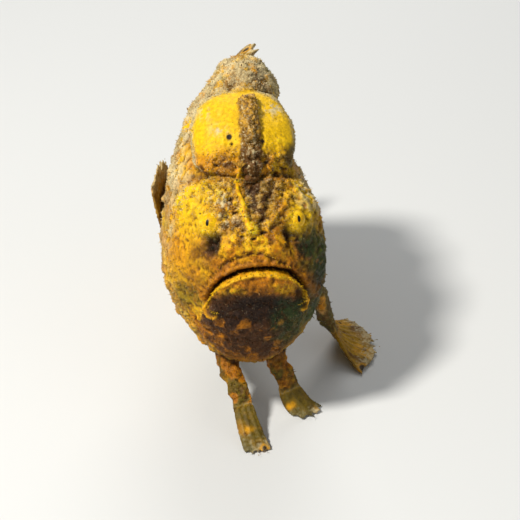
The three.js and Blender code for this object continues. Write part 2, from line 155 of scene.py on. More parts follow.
aim = tilt_up(AIM) + SHIFT
sight = point(
    math.sin(VIEW_TURN) * math.cos(VIEW_RISE),
    -math.cos(VIEW_TURN) * math.cos(VIEW_RISE),
    math.sin(VIEW_RISE),
)
eye_point = aim + sight * VIEW_DISTANCE
view_right = point(math.cos(VIEW_TURN), math.sin(VIEW_TURN), 0)
view_up = np.cross(sight, view_right)


def on_picture(p):
    """Where points of the level fish fall on the photograph's frame, in its pixels."""
    d = tilt_up(p) + SHIFT - eye_point
    scale = LENS / SENSOR * PICTURE / -(d @ sight)
    return np.stack([PICTURE / 2 + d @ view_right * scale, PICTURE / 2 - d @ view_up * scale], -1)


# Smooth noise between -1 and 1


def hashed(i, seed):
    n = i[..., 0] * 374761393 + i[..., 1] * 668265263 + i[..., 2] * 2147483647 + seed * 974634777
    n = (n ^ (n >> 13)) * 1274126177
    n = n ^ (n >> 16)
    return (n & 0xFFFF) / 32767.5 - 1


def noise(p, seed=0):
    cell = np.floor(p).astype(np.int64)
    f = p - cell
    u = f * f * (3 - 2 * f)
    total = np.zeros(len(p))
    for corner in np.ndindex(2, 2, 2):
        c = np.array(corner)
        weight = np.prod(np.where(c == 1, u, 1 - u), axis=-1)
        total += weight * hashed(cell + c, seed)
    return total


def rough_noise(p, octaves, seed=0):
    total = np.zeros(len(p))
    for k in range(octaves):
        total += noise(p * 2**k + 17.3 * k, seed + k) / 2**k
    return total


def cells(p, seed=0):
    """Distance to the nearest of one random point in each unit cell."""
    base = np.floor(p).astype(np.int64)
    best = np.full(len(p), 9.0)
    for offset in np.ndindex(3, 3, 3):
        cell = base + np.array(offset) - 1
        middle = cell + 0.5 + 0.45 * np.stack([hashed(cell, seed + k) for k in range(3)], -1)
        best = np.minimum(best, np.linalg.norm(p - middle, axis=-1))
    return best


# Forms, the same as the solids' but finer


def profile(pairs):
    """A smooth curve through [distance behind the snout, value] pairs, blunt at the snout."""
    q = np.sqrt([y for y, _ in pairs])
    v = np.array([value for _, value in pairs], dtype=float)
    rise = np.diff(v) / np.diff(q)
    slope = np.empty(len(v))
    slope[0], slope[-1] = rise[0], rise[-1]
    before, after = rise[:-1], rise[1:]
    total = np.where(before + after == 0, 1, before + after)
    slope[1:-1] = np.where(before * after > 0, 2 * before * after / total, 0)

    def curve(y):
        at = np.clip(np.sqrt(np.maximum(y, 0)), q[0], q[-1])
        i = np.clip(np.searchsorted(q, at, side="right") - 1, 0, len(rise) - 1)
        h = q[i + 1] - q[i]
        t = (at - q[i]) / h
        return (
            v[i] * (1 + 2 * t) * (1 - t) ** 2
            + h * slope[i] * t * (1 - t) ** 2
            + v[i + 1] * t * t * (3 - 2 * t)
            + h * slope[i + 1] * t * t * (t - 1)
        )

    return curve


back_line, belly_line = profile(BACK_LINE), profile(BELLY_LINE)
half_width, widest_line = profile(HALF_WIDTH), profile(WIDEST_LINE)


def bend_at(y):
    """Sideways shift of the body: to its right behind the head, and back again towards the tail."""
    return NECK_BEND * smooth_step(12, 42, y) + TAIL_BEND * (np.maximum(y - 50, 0) / (BODY_LENGTH - 50)) ** 2


def grid_faces(rows, columns, closed):
    """Quads between rows of points; closed joins each row's last point to its first."""
    faces = []
    for i in range(rows - 1):
        for j in range(columns if closed else columns - 1):
            k = (j + 1) % columns
            faces.append((i * columns + j, i * columns + k, (i + 1) * columns + k, (i + 1) * columns + j))
    return faces


class Form:
    """A closed mesh; each vertex has its share of the way from root to tip and its place across the rays."""

    def __init__(self, kind, verts, faces, along=None, across=None):
        self.kind = kind
        self.verts = np.asarray(verts, dtype=float)
        self.faces = faces
        self.along = np.zeros(len(self.verts)) if along is None else along
        self.across = np.zeros(len(self.verts)) if across is None else across


def closed_loft(kind, rings, along=None):
    rings = np.asarray(rings)
    rows, columns = rings.shape[:2]
    faces = grid_faces(rows, columns, True)
    verts = list(rings.reshape(-1, 3)) + [rings[0].mean(0), rings[-1].mean(0)]
    first, last = rows * columns, rows * columns + 1
    for j in range(columns):
        k = (j + 1) % columns
        faces.append((first, k, j))
        faces.append((last, (rows - 1) * columns + j, (rows - 1) * columns + k))
    share = np.linspace(0, 1, rows) if along is None else along
    return Form(kind, verts, faces, np.append(np.repeat(share, columns), [share[0], share[-1]]))


def body_form():
    rows, columns = 150, 150
    y = BODY_LENGTH * (np.arange(1, rows + 1) / rows) ** 1.75
    turn = 2 * np.pi * np.arange(columns) / columns
    power = 2 / np.where(np.sin(turn) > 0, *SQUARENESS)
    across = rounded(np.cos(turn), power)
    up = rounded(np.sin(turn), power)
    middle = widest_line(y)[:, None]
    tall = np.where(up > 0, back_line(y)[:, None] - middle, middle - belly_line(y)[:, None])
    x = bend_at(y)[:, None] + across * half_width(y)[:, None]
    return closed_loft("body", np.stack([x, np.broadcast_to(y[:, None], x.shape), middle + up * tall], -1))


def lump(kind, at, half, tilt, power=1.0):
    """A sphere stretched to three half-sizes and tilted about X; a power below 1 makes it boxier."""
    rows, columns = 60, 90
    polar = np.pi * (np.arange(rows) + 0.5) / rows
    turn = 2 * np.pi * np.arange(columns) / columns
    x = rounded(np.sin(polar)[:, None] * np.cos(turn), power) * half[0]
    y = rounded(np.sin(polar)[:, None] * np.sin(turn), power) * half[1]
    z = rounded(np.cos(polar)[:, None] + 0 * turn, power) * half[2]
    c, s = math.cos(tilt), math.sin(tilt)
    return closed_loft(kind, np.stack([x + at[0], c * y - s * z + at[1], s * y + c * z + at[2]], -1))


def smooth_path(points, count):
    """Points along a Catmull-Rom curve through a few points, and its directions."""
    points = np.asarray(points, dtype=float)
    padded = np.vstack([2 * points[0] - points[1], points, 2 * points[-1] - points[-2]])
    t = np.linspace(0, len(points) - 1, count)
    i = np.minimum(t.astype(int), len(points) - 2)
    f = (t - i)[:, None]
    a, b, c, d = (padded[i + k] for k in range(4))
    path = 0.5 * (2 * b + (c - a) * f + (2 * a - 5 * b + 4 * c - d) * f**2 + (3 * b - a - 3 * c + d) * f**3)
    return path, np.gradient(path, axis=0)


def limb(kind, points, sizes, across, rows=40, columns=28):
    path, steps = smooth_path(points, rows)
    along = unit(steps)
    wide = unit(across - along * (along @ across)[:, None])
    thick = np.cross(along, wide)
    place = np.linspace(0, 1, len(sizes))
    t = np.linspace(0, 1, rows)
    half_wide = np.interp(t, place, [s[0] for s in sizes])
    half_thick = np.interp(t, place, [s[1] for s in sizes])
    turn = 2 * np.pi * np.arange(columns) / columns
    rings = (
        path[:, None]
        + wide[:, None] * (np.cos(turn) * half_wide[:, None])[..., None]
        + thick[:, None] * (np.sin(turn) * half_thick[:, None])[..., None]
    )
    return closed_loft(kind, rings)


def bend_ray(ray, t):
    root, knee, tip = ray
    t = np.asarray(t)[..., None]
    return root * (1 - t) ** 2 + knee * 2 * t * (1 - t) + tip * t**2


def fin(kind, rays, ray_thick=(1.5, 0.8), web_thick=0.75, web_share=0.9, rows=44, per_gap=12):
    """Rays with webs between them; the webs stop short of the ray tips and the rays stand proud."""
    columns = (len(rays) - 1) * per_gap + 1
    place = np.linspace(0, len(rays) - 1, columns)
    low = np.minimum(place.astype(int), len(rays) - 2)
    f = place - low
    rays = np.asarray(rays)
    t = np.linspace(0, 1, rows)
    gap = np.sin(np.pi * f)
    reach = 1 - (1 - web_share) * gap**0.7
    left = np.array([bend_ray(rays[k], t * r) for k, r in zip(low, reach)])
    right = np.array([bend_ray(rays[k + 1], t * r) for k, r in zip(low, reach)])
    sheet = left + (right - left) * f[:, None, None]
    facing = np.cross(np.gradient(sheet, axis=0), np.gradient(sheet, axis=1))
    facing /= np.maximum(np.linalg.norm(facing, axis=-1, keepdims=True), 1e-9)
    ray_width = mix(ray_thick[0], ray_thick[1], t)
    ridge = np.maximum(1 - np.minimum(f, 1 - f)[:, None] * 3.2, 0) ** 0.6
    thick = web_thick + (ray_width - web_thick) * ridge
    sides = [sheet + facing * side * thick[..., None] / 2 for side in (1, -1)]
    ring = np.concatenate([sides[0], sides[1][::-1]], axis=0).transpose(1, 0, 2)
    form = closed_loft(kind, ring, t)
    form.across = np.append(np.tile(np.append(place, place[::-1]), rows), [0, 0])
    return form


def hand_rays(count, wrist, spread, knees, tips):
    shares = np.arange(count) / (count - 1)
    return [(wrist + spread * (2 * t - 1), knees(t), tips(t)) for t in shares]


def dorsal_fin():
    rays = []
    for t in np.linspace(0, 1, DORSAL_RAYS):
        y = mix(*DORSAL_ROOT, t)
        root = point(bend_at(y), y, back_line(y) - 2.5)
        long = 10 + 6.5 * math.sin(math.pi * (0.1 + 0.75 * t))
        tilt = mix(1.05, 0.6, t)
        lean = 11 * math.cos(math.pi * (0.05 + 0.85 * t))
        tip = root + point(lean, long * math.cos(tilt), long * math.sin(tilt))
        knee = root + point(0, 0.32 * long * math.cos(tilt), 0.62 * long * math.sin(tilt))
        rays.append((root, knee, tip))
    return fin("dorsal", rays)


def anal_fin():
    rays = []
    for t, height in zip(np.linspace(0, 1, len(ANAL_TIP_HEIGHTS)), ANAL_TIP_HEIGHTS):
        y = mix(*ANAL_ROOT, t)
        root = point(bend_at(y), y, belly_line(y) + 2.5)
        knee = on_floor(bend_at(y) - 4 + 2 * t, mix(75, 99, t), 6 + 5 * t)
        tip = on_floor(bend_at(y) - 7 + 3 * t, mix(78, 113, t), height + 0.3)
        rays.append((root, knee, tip))
    return fin("anal", rays, ray_thick=(1.7, 1))


def tail_fin():
    rays = []
    for t in np.linspace(0, 1, TAIL_RAYS):
        angle = mix(-0.62, 0.62, t)
        long = TAIL_LENGTH * (1 - 0.1 * math.cos(math.pi * (2 * t - 1)) ** 2 * (1 - 4 * t * (1 - t)))
        root = point(bend_at(BODY_LENGTH), BODY_LENGTH - 3, mix(*TAIL_ROOT, t))
        knee = root + point(2, 0.5 * long, 0.22 * long * math.sin(angle))
        tip = root + point(7, long * math.cos(angle) - 1, long * math.sin(angle))
        rays.append((root, knee, tip))
    return fin("tail", rays)


def right_pectoral():
    def knee(t):
        return point(mix(-22.5, -27.5, t), mix(58, 38.5, t), mix(40, 46, t))

    def tip(t):
        turn = mix(-0.62, 0.42, t)
        long = PECTORAL_LENGTH - 4 * (2 * t - 1) ** 2
        return point(mix(-21.5, -28, t), 49.5 - long * math.sin(turn), 32 + long * math.cos(turn))

    arm = limb(
        "arm",
        [(-15, 44, 20), (-20, 47, 25), (-22.8, 49.3, 31), (-23.6, 49.5, 37)],
        [(5.5, 4.2), (4.8, 3.4), (5.2, 2), (5.6, 0.6)],
        point(0, 1, 0.3),
    )
    rays = hand_rays(PECTORAL_RAYS, point(-23.4, 49.5, 31.5), point(0, -4.8, 0.5), knee, tip)
    return [arm, fin("pectoral", rays, ray_thick=(1.7, 0.9), web_share=0.86)]


def left_pectoral():
    def knee(t):
        return on_floor(32.5, mix(41, 65, t), 1.8)

    def tip(t):
        turn = mix(-1.15, 1.15, t)
        return on_floor(30 + 15.5 * math.cos(turn), 53 + 18 * math.sin(turn), 0.45)

    arm = limb(
        "arm",
        [(12, 44, 21), (21, 48, 15), on_floor(28, 53, 9), on_floor(32, 53, 3.5)],
        [(5.5, 4.6), (4.6, 3.6), (5, 2.2), (6, 0.6)],
        point(0, 1, 0),
    )
    rays = hand_rays(PECTORAL_RAYS, on_floor(28, 53, 9), point(-0.5, 4.4, 0), knee, tip)
    return [arm, fin("pectoral", rays, ray_thick=(1.8, 1), web_share=0.84)]


def pelvic(side, palm, foot_x, foot_y, turn, spread):
    down = on_floor(foot_x, foot_y) - palm

    def knee(t):
        return palm + down * 0.62 + point(mix(-6, 6, t) * spread, 1.5, -2.6)

    def tip(t):
        fan = mix(-1, 1, t) * spread + turn
        long = PELVIC_LENGTH - 2.6 * (2 * t - 1) ** 2
        return on_floor(foot_x + long * math.sin(fan), foot_y + 4 - long * math.cos(fan), 0.45)

    arm = limb(
        "arm",
        [(side * 7.5, 27, 9), (side * 7.2, 24, 1.5), palm, palm + down * 0.3],
        [(4, 3.6), (3.6, 3), (3.4, 1.7), (3.4, 0.6)],
        point(1, 0, 0),
    )
    rays = hand_rays(PELVIC_RAYS, palm - down * 0.08, point(2.6, 0, 0), knee, tip)
    return [arm, fin("pelvic", rays, ray_thick=(1.9, 1.1), web_share=0.8)]


def hood_forms():
    """The dome, the column in front of it and the hump behind it."""
    hood = lump("hood", HOOD_AT, HOOD_HALF, HOOD_TILT, power=0.86)
    column = limb("column", COLUMN_PATH, COLUMN_SIZES, point(1, 0, 0))
    hump = lump("body", HUMP_AT, HUMP_HALF, tilt=-0.1, power=1.25)
    return [hood, column, hump]


def all_forms():
    forms = [body_form()] + hood_forms()
    forms += [dorsal_fin(), anal_fin(), tail_fin()]
    forms += right_pectoral() + left_pectoral()
    forms += pelvic(-1, point(-4.6, 18.5, -4.6), foot_x=-0.6, foot_y=2.6, turn=0.1, spread=0.62)
    forms += pelvic(1, point(10.5, 23, -5.2), foot_x=15, foot_y=19, turn=0.45, spread=0.9)
    return forms


# Meshes


def in_scene(name, data):
    """A new object for a mesh, a light or a camera."""
    piece = bpy.data.objects.new(name, data)
    bpy.context.scene.collection.objects.link(piece)
    return piece


def mesh_object(name, verts, faces):
    mesh = bpy.data.meshes.new(name)
    mesh.from_pydata([tuple(v) for v in verts], [], [tuple(f) for f in faces])
    mesh.shade_smooth()
    return in_scene(name, mesh)


def joined_forms(forms):
    """Points and faces of several forms, and the number at which each form's points start."""
    starts = np.cumsum([0] + [len(form.verts) for form in forms])
    faces = [tuple(v + start for v in face) for form, start in zip(forms, starts) for face in form.faces]
    return np.vstack([form.verts for form in forms]), faces, starts


def read_all(items, key, width=1, number=np.int32):
    """One property of all the items of a mesh."""
    flat = np.empty(len(items) * width, dtype=number)
    items.foreach_get(key, flat)
    return flat if width == 1 else flat.reshape(-1, width)


def normals_of(verts, triangles):
    a, b, c = (verts[triangles[:, k]] for k in range(3))
    face = np.cross(b - a, c - a)
    total = np.zeros_like(verts)
    for k in range(3):
        for axis in range(3):
            total[:, axis] += np.bincount(triangles[:, k], face[:, axis], len(verts))
    return total / np.maximum(np.linalg.norm(total, axis=1, keepdims=True), 1e-12)


def relax(verts, edges, share, rounds):
    """Moves each vertex towards the mean of its neighbours by its share."""
    count = np.bincount(edges[:, 0], minlength=len(verts)) + np.bincount(edges[:, 1], minlength=len(verts))
    for _ in range(rounds):
        total = np.zeros_like(verts)
        for axis in range(verts.shape[1]):
            total[:, axis] += np.bincount(edges[:, 0], verts[edges[:, 1], axis], len(verts))
            total[:, axis] += np.bincount(edges[:, 1], verts[edges[:, 0], axis], len(verts))
        verts = verts + (total / count[:, None] - verts) * share
    return verts


def remeshed(forms):
    verts, faces, _ = joined_forms(forms)
    rough = mesh_object("rough", verts, faces)
    modifier = rough.modifiers.new("remesh", "REMESH")
    modifier.mode = "VOXEL"
    modifier.voxel_size = VOXEL
    modifier.adaptivity = 0
    graph = bpy.context.evaluated_depsgraph_get()
    mesh = bpy.data.meshes.new_from_object(rough.evaluated_get(graph))
    bpy.data.objects.remove(rough)
    return mesh


forms = all_forms()
skin_mesh = remeshed(forms)
skin_mesh.name = "skin"
verts = read_all(skin_mesh.vertices, "co", 3, np.float32).astype(float)
skin_mesh.calc_loop_triangles()
triangles = read_all(skin_mesh.loop_triangles, "vertices", 3)
edges = read_all(skin_mesh.edges, "vertices", 2)

# Which form each vertex came from
KINDS = ["body", "hood", "column", "arm", "dorsal", "anal", "tail", "pectoral", "pelvic"]
source = np.vstack([form.verts for form in forms])
source_form = np.concatenate([[i] * len(form.verts) for i, form in enumerate(forms)])
source_along = np.concatenate([form.along for form in forms])
source_across = np.concatenate([form.across for form in forms])
tree = KDTree(len(source))
for i, p in enumerate(source):
    tree.insert(p, i)
tree.balance()
nearest = np.array([tree.find(p)[1] for p in verts])
form_of = source_form[nearest]
kind = np.array([KINDS.index(form.kind) for form in forms])[form_of]
along = source_along[nearest]
across = source_across[nearest]


def spread(mask, rounds):
    """A mask over the vertices with its edge softened."""
    return relax(mask.astype(float)[:, None], edges, 1.0, rounds)[:, 0]


finlike = spread(kind >= KINDS.index("dorsal"), 5)
hood = spread(kind == KINDS.index("hood"), 3)
column = spread(kind == KINDS.index("column"), 3)
fleshy = 1 - finlike

verts = relax(verts, edges, (0.5 * (1 - 0.6 * finlike))[:, None], 6)
normals = normals_of(verts, triangles)
verts -= normals * (COAT_DEPTH * (1 - 0.8 * finlike))[:, None]
smooth_normals = normals


# The relief of the skin. Marks of the face are placed by where they fall on the photograph's frame.

# Lines and places on the face and the dome, in the photograph's pixels; right and left are the fish's own
MOUTH = [
    (206, 305), (209, 297), (214, 288.5), (222, 281), (238, 273), (256, 269.5), (275, 269.5), (290, 272.5),
    (299, 280), (305, 290), (305, 298),
]
LOWER_LIP = [
    (206, 306), (209, 298), (214, 291), (222, 285), (238, 277), (256, 273), (275, 274), (290, 277.5),
    (299, 284.5), (304, 291), (303, 298),
]
UPPER_CREASE = [(213, 275), (222, 266), (236, 258), (250, 254), (262, 254), (274, 259), (290, 266)]
LURE_LINE = [(253, 229), (247, 221), (242, 205), (239, 190), (238, 178), (241, 168)]
BROWS = [
    [(183, 203), (192, 190), (208, 182), (228, 183)],
    [(270, 182), (286, 185), (299, 198), (305, 216)],
    [(216, 208), (226, 221), (240, 228)],
    [(286, 200), (278, 214), (268, 226)],
]
CORNER_FLAPS = [
    [(206, 303), (208, 309), (213, 313), (218, 314)],
    [(305, 292), (306, 299), (303, 304), (298, 306)],
]
CORNER_HOLLOWS = [(213, 301), (297, 291)]
CORNER_DENT = (4, 4.5)  # half width and half height
CORNER_SHADE = (4.5, 5)
# Each pit and spot with its radius
PITS = [
    (230, 199, 2.3), (235, 213, 2.4), (238, 226, 2), (268, 186, 2), (268, 198, 2.5), (267, 208, 2),
    (262, 221, 2.5), (242, 237, 1.9), (253, 238, 1.8), (263, 233, 2.1), (226, 190, 1.6), (222, 182, 1.8),
    (257, 192, 1.5), (205, 178, 2), (277, 176, 2), (248, 207, 1.4), (215, 166, 1.8), (266, 163, 2.2),
    (283, 168, 1.8), (283, 196, 1.5), (199, 172, 1.6),
]
DARK_SPOTS = [
    (229, 136.5, 3.1), (231.5, 143.5, 1.6), (262, 141.5, 2.7), (240, 136.5, 1.3), (202, 214, 1.1),
    (206, 213.5, 1),
]
# Each place's ovals: their middles, half widths and half heights
PLACES = {
    # mounds and hollows
    "jaw": [(256, 300, 52, 42)],
    "snout": [(253, 247, 34, 15)],
    "nose": [(254, 231, 7, 5)],
    "snout_sides": [(232, 250, 9, 7), (274, 250, 9, 7)],
    "chin_fold": [(268, 304, 30, 8)],
    "chin_lumps": [(238, 324, 12, 9), (272, 328, 14, 8)],
    "forehead": [(259, 200, 12, 18)],
    "temples": [(188, 208, 12, 18), (313, 208, 10, 22)],
    "cheeks": [(186, 262, 16, 20), (316, 268, 12, 22)],
    "hollow_right": [(214, 243, 5.5, 10)],
    "hollow_left": [(290, 238, 6, 11)],
    "folds": [(199, 256, 6, 8), (303, 246, 6, 8)],
    "gravel": [(245, 201, 33, 38)],
    "neck": [(242, 176, 52, 12)],
    # paint of the face
    "yellow_eye_right": [(193, 212, 20, 30)],
    "gold_cheek_right": [(182, 262, 26, 34)],
    "yellow_eye_left": [(300, 204, 15, 28)],
    "amber_eye_left": [(284, 226, 14, 16)],
    "cream_side_right": [(166, 205, 10, 40)],
    "tan_forehead": [(259, 198, 17, 24)],
    "yellow_brow": [(214, 192, 15, 11)],
    "shadow_under_dome": [(240, 180, 52, 14)],
    "cream_brow": [(226, 208, 17, 18)],
    "gold_snout": [(254, 248, 42, 17)],
    "orange_snout": [(256, 250, 42, 17)],
    "yellow_snout": [(246, 244, 34, 12)],
    "brown_snout": [(256, 250, 44, 18)],
    "brown_cheek_right": [(204, 256, 11, 13)],
    "brown_cheek_left": [(304, 245, 10, 15)],
    "brown_shade_hollow_right": [(214, 242, 9, 13)],
    "deep_shade_hollows": [(213, 243, 5.5, 9), (290, 237, 7, 12)],
    "deep_shade_cheek_left": [(304, 250, 6, 8)],
    "olive_jaw_right": [(186, 295, 12, 14)],
    "amber_corner_right": [(200, 284, 14, 14)],
    "green_shade_side_left": [(321, 268, 17, 56)],
    "deep_shade_side_left": [(318, 296, 14, 30)],
    "cream_shoulder_left": [(311, 190, 15, 24)],
    "tan_side_left": [(314, 222, 10, 16)],
    "yellow_nose": [(252, 230, 6, 4)],
    # paint of the chin
    "chin": [(256, 318, 60, 46)],
    "yellow_chin": [(233, 290, 12, 7), (282, 286, 12, 6)],
    "chin_shade": [(258, 310, 50, 16)],
    "deep_shade_chin_left": [(284, 311, 20, 14)],
    "green_shade_jaw_left": [(302, 324, 28, 26)],
    # paint of the dome
    "brown_dome": [(228, 163, 12, 9), (272, 160, 14, 10)],
    "cream_dome_middle": [(219, 130, 8, 5)],
    "cream_dome_right": [(204, 114, 12, 6)],
    "cream_dome_left": [(274, 107, 14, 9)],
    "dome_side_shade": [(291, 158, 7, 14), (188, 165, 5, 9)],
}
# Heights in the picture
NECK_LEVEL = 176
DOME_DARKENS = (142, 164)
COLUMN_DARKENS = (112, 160)
COLUMN_FOOT = (145, 158)
CHIN_SHADE_DEEPENS = (287, 300)
CHIN_PATCHES = (312, 322)
CHIN_FLAPS = (285, 300)
PALE_ABOVE = 240

LIP_NOTCHES = 24
OCELLI = [(74, 60, 3.2), (55, 44, 1.7), (66, 34, 1.4), (84, 38, 1.5)]  # y, z and radius, on both flanks
SIDEWAYS_LOOK = 0.36  # of each eye, as a slope
EYE_REACH = 8  # how far along its sight line an eye shapes the skin, in millimetres

seen_at = on_picture(verts)
seen_x, seen_y = seen_at.T


def from_line(line):
    """Distance to a line through picture points, positive above it, and the share of the way along it."""
    line = np.asarray(line, dtype=float)
    best = np.full(len(seen_at), 1e9)
    signed = np.zeros(len(seen_at))
    share = np.zeros(len(seen_at))
    for k in range(len(line) - 1):
        a, d = line[k], line[k + 1] - line[k]
        t = np.clip((seen_at - a) @ d / (d @ d), 0, 1)
        off = seen_at - a - t[:, None] * d
        far = np.hypot(off[:, 0], off[:, 1])
        side = np.sign(d[1] * off[:, 0] - d[0] * off[:, 1])
        nearer = far < best
        best = np.where(nearer, far, best)
        signed = np.where(nearer, side * far, signed)
        share = np.where(nearer, (k + t) / (len(line) - 1), share)
    return signed, share


def nearest_line(lines):
    return np.min([np.abs(from_line(line)[0]) for line in lines], axis=0)


def hill(x, width):
    return np.exp(-((x / width) ** 2))


def spot(x, y, wide, tall):
    return np.exp(-(((seen_x - x) / wide) ** 2) - ((seen_y - y) / tall) ** 2)


def mound(place):
    """1 in the middle of a named place, falling off smoothly."""
    return sum(spot(*oval) for oval in PLACES[place])


def blot(place, ragged_by, edge):
    """1 inside a named place, 0 outside, with a ragged edge."""
    ovals = [np.hypot((seen_x - x) / wide, (seen_y - y) / tall) for x, y, wide, tall in PLACES[place]]
    return 1 - smooth_step(1 - edge, 1 + edge, np.min(ovals, axis=0) + ragged_by)


def patch(place, raggedness=1.0, edge=0.5):
    return blot(place, raggedness * ragged, edge)


def pit_far(x, y):
    """Distance to a pit, warped so that its outline is uneven."""
    return np.hypot((seen_x + warp_x - x) / 1.5, seen_y + warp_y - y)


sight_level = tilt_down(*sight)
toward_view = normals @ sight_level
outward = smooth_step(0.0, 0.45, toward_view)
face = outward * fleshy * (1 - smooth_step(22, 32, verts[:, 1] + 0.25 * (verts[:, 2] - 40)))
mark = np.maximum(face, outward * np.maximum(hood, column))
mouth, mouth_share = from_line(MOUTH)
lip, _ = from_line(LOWER_LIP)
crease, _ = from_line(UPPER_CREASE)
lure_far, lure_share = from_line(LURE_LINE)
mouth_ends = 1 - np.abs(2 * mouth_share - 1) ** 4
notches = np.sin(2 * np.pi * LIP_NOTCHES * mouth_share)
flap_far = nearest_line(CORNER_FLAPS)
brow_far = nearest_line(BROWS)

# Noise of several sizes, in millimetres
wide_noise = rough_noise(verts / 13, 3, 5)
lumpy = rough_noise(verts / 6.5, 3, 3)
blotchy = rough_noise(verts / 5, 3, 51)
ridged = 1 - np.abs(rough_noise(verts / 4.2, 3, 31))
warty = np.abs(rough_noise(verts / 2.4, 2, 33))
wart_far = cells(verts / 4.6, 71)
small_wart_far = cells(verts / 2.3, 75)
fine = rough_noise(verts / 1.9, 3, 9)
grain = noise(verts / 0.62, 21)
speckle = noise(verts / 0.5, 61)
ragged = 0.35 * rough_noise(verts / 2.6, 3, 41)
warp_x = 2.6 * noise(verts / 1.1, 131)
warp_y = 1.8 * noise(verts / 1.1, 133)

side_share = np.abs(verts[:, 0] - bend_at(verts[:, 1])) / np.maximum(half_width(verts[:, 1]), 1)
flank = smooth_step(0.5, 0.85, np.clip(side_share, 0, 1)) * smooth_step(13, 20, verts[:, 1])
back = smooth_step(26, 38, verts[:, 1])
crusty = np.clip(np.maximum(flank, back), 0, 1) * fleshy * (1 - hood) * (1 - column)
crusty *= 1 - 0.7 * smooth_step(24, 10, verts[:, 2])
crusty *= 1 - 0.75 * smooth_step(60, 46, verts[:, 2]) * smooth_step(48, 30, verts[:, 1])
crust_noise = wide_noise + 0.3 * blotchy + smooth_step(60, 30, verts[:, 1])
crusty *= mix(0.35, 1.0, smooth_step(-0.45, 0.25, crust_noise))
rim = np.clip(smooth_step(0.5, 0.15, toward_view) + smooth_step(36, 42, verts[:, 1]), 0, 1)
jaw = smooth_step(2, -3, lip) * blot("jaw", 0.05 * fine, 0.35)
folds = np.sin(2 * np.pi * (verts[:, 1] + 0.16 * verts[:, 2] + 5 * wide_noise + 1.6 * lumpy) / 5.8)
folds *= smooth_step(62, 36, verts[:, 1]) * smooth_step(-0.8, 0.2, blotchy)
gravel = face * patch("gravel", 1.2)
dusk = hood * smooth_step(*DOME_DARKENS, seen_y + 16 * ragged)


def eye_axes(side):
    """Directions to the right of, up from and out of an eye."""
    out = unit(sight_level + point(SIDEWAYS_LOOK * side, 0, 0))
    right = unit(np.cross(point(0, 0, 1), out))
    return right, np.cross(out, right), out


def around_eye(side, at):
    """Offsets from an eye's centre along its three directions."""
    offset = at - EYE_AT * (side, 1, 1)
    return [offset @ axis for axis in eye_axes(side)]


def texture_relief():
    behind = fleshy * (1 - face) * (1 - hood) * (1 - column)
    rise = 0.4 * lumpy + 0.2 * fine * (1 - 0.85 * hood)
    rise += crusty * 0.6 * folds
    rise += behind * (0.75 * hill(wart_far, 0.3) + 0.4 * hill(small_wart_far, 0.28) + 0.3 * (warty - 0.4))
    rise += face * (0.1 * (ridged - 0.6) + 0.4 * (warty - 0.4) + 0.55 * hill(small_wart_far, 0.3))
    rise += face * 0.15 * fine
    rise += gravel * (0.5 * hill(small_wart_far, 0.34) + 0.3 * (warty - 0.4) + 0.25 * grain)
    rise += fleshy * (1 - hood) * 0.16 * grain
    rise += hood * (0.14 * wide_noise + 0.05 * grain)
    rise += dusk * (0.3 * (ridged - 0.6) + 0.3 * fine + 0.3 * hill(small_wart_far, 0.3) + 0.15 * grain)
    rise += column * (0.45 * grain + 0.4 * fine)
    return rise


def face_relief():
    rise = 0.75 * hill(mouth - 4.8, 2.8) * mouth_ends
    rise += 0.22 * hill(mouth - 6, 4) * mouth_ends * notches
    rise -= 0.5 * hill(crease + 2 * ragged, 2.2)
    rise += 1.5 * blot("snout", 0.08 * fine, 0.5)
    rise += 1.4 * mound("nose")
    rise += 0.8 * mound("snout_sides")
    rise += 1.1 * hill(lip + 0.4, 1.1)
    rise += 1.3 * jaw * (1 - smooth_step(-6, -34, lip))
    rise -= 0.9 * mound("chin_fold")
    rise += 0.9 * mound("chin_lumps")
    rise += hill(brow_far, 3.6)
    rise += 0.9 * mound("forehead")
    rise += mix(1.8, 1.0, lure_share) * hill(lure_far + 2 * ragged, mix(5, 3, lure_share))
    rise += 1.2 * mound("temples")
    rise += mound("cheeks")
    hollows = patch("hollow_right", 1.5, 0.7) + patch("hollow_left", 1.0, 0.7)
    rise -= hollows * (2.8 - 1.1 * hill(small_wart_far, 0.3))
    rise -= 0.9 * mound("folds")
    rise += 1.2 * hill(flap_far, 1.7)
    for x, y in CORNER_HOLLOWS:
        rise -= 1.6 * spot(x, y, *CORNER_DENT)
    rise -= 1.2 * hill(seen_y - NECK_LEVEL, 3) * blot("neck", 0, 0.3)
    return face * rise


def relief():
    """How far the skin rises along its normal, in millimetres."""
    rise = texture_relief() + face_relief()
    for x, y, size in PITS:
        rise -= mark * hill(pit_far(x, y), size * 0.8)
    for x, y, size in DARK_SPOTS:
        rise -= mark * 0.3 * spot(x, y, size, size)
    for side in (-1, 1):
        right, up, out = around_eye(side, verts)
        far = np.hypot(right, up / 1.1) + 0.25 * fine
        near = np.abs(out) < EYE_REACH
        lid = smooth_step(0.9, 1.7, far) * (1 - smooth_step(1.9, 5.5, far)) * near
        rise = mix(rise, 1.35 + 0.6 * fine + 0.5 * hill(small_wart_far, 0.3), lid)
        rise = mix(rise, 0.0, (1 - smooth_step(0.9, 1.3, far)) * near)
    rise -= face * 3.2 * hill(mouth - 0.6, 2.3) * mouth_ends
    rise = np.clip(rise, -5, 2.6)
    return rise * fleshy + finlike * (0.12 * fine + 0.08 * grain)


verts = verts + normals * relief()[:, None]
verts = relax(verts, edges, (0.2 * fleshy)[:, None], 1)
normals = normals_of(verts, triangles)
bumps = spread(np.einsum("ij,ij->i", verts - relax(verts, edges, 1.0, 4), normals), 1) / 0.07

# Paint


def colour(r, g, b):
    """A colour given as shown on screen, from 0 to 255, turned to linear light."""
    c = np.array([r, g, b]) / 255
    return np.where(c <= 0.04045, c / 12.92, ((c + 0.055) / 1.055) ** 2.4)


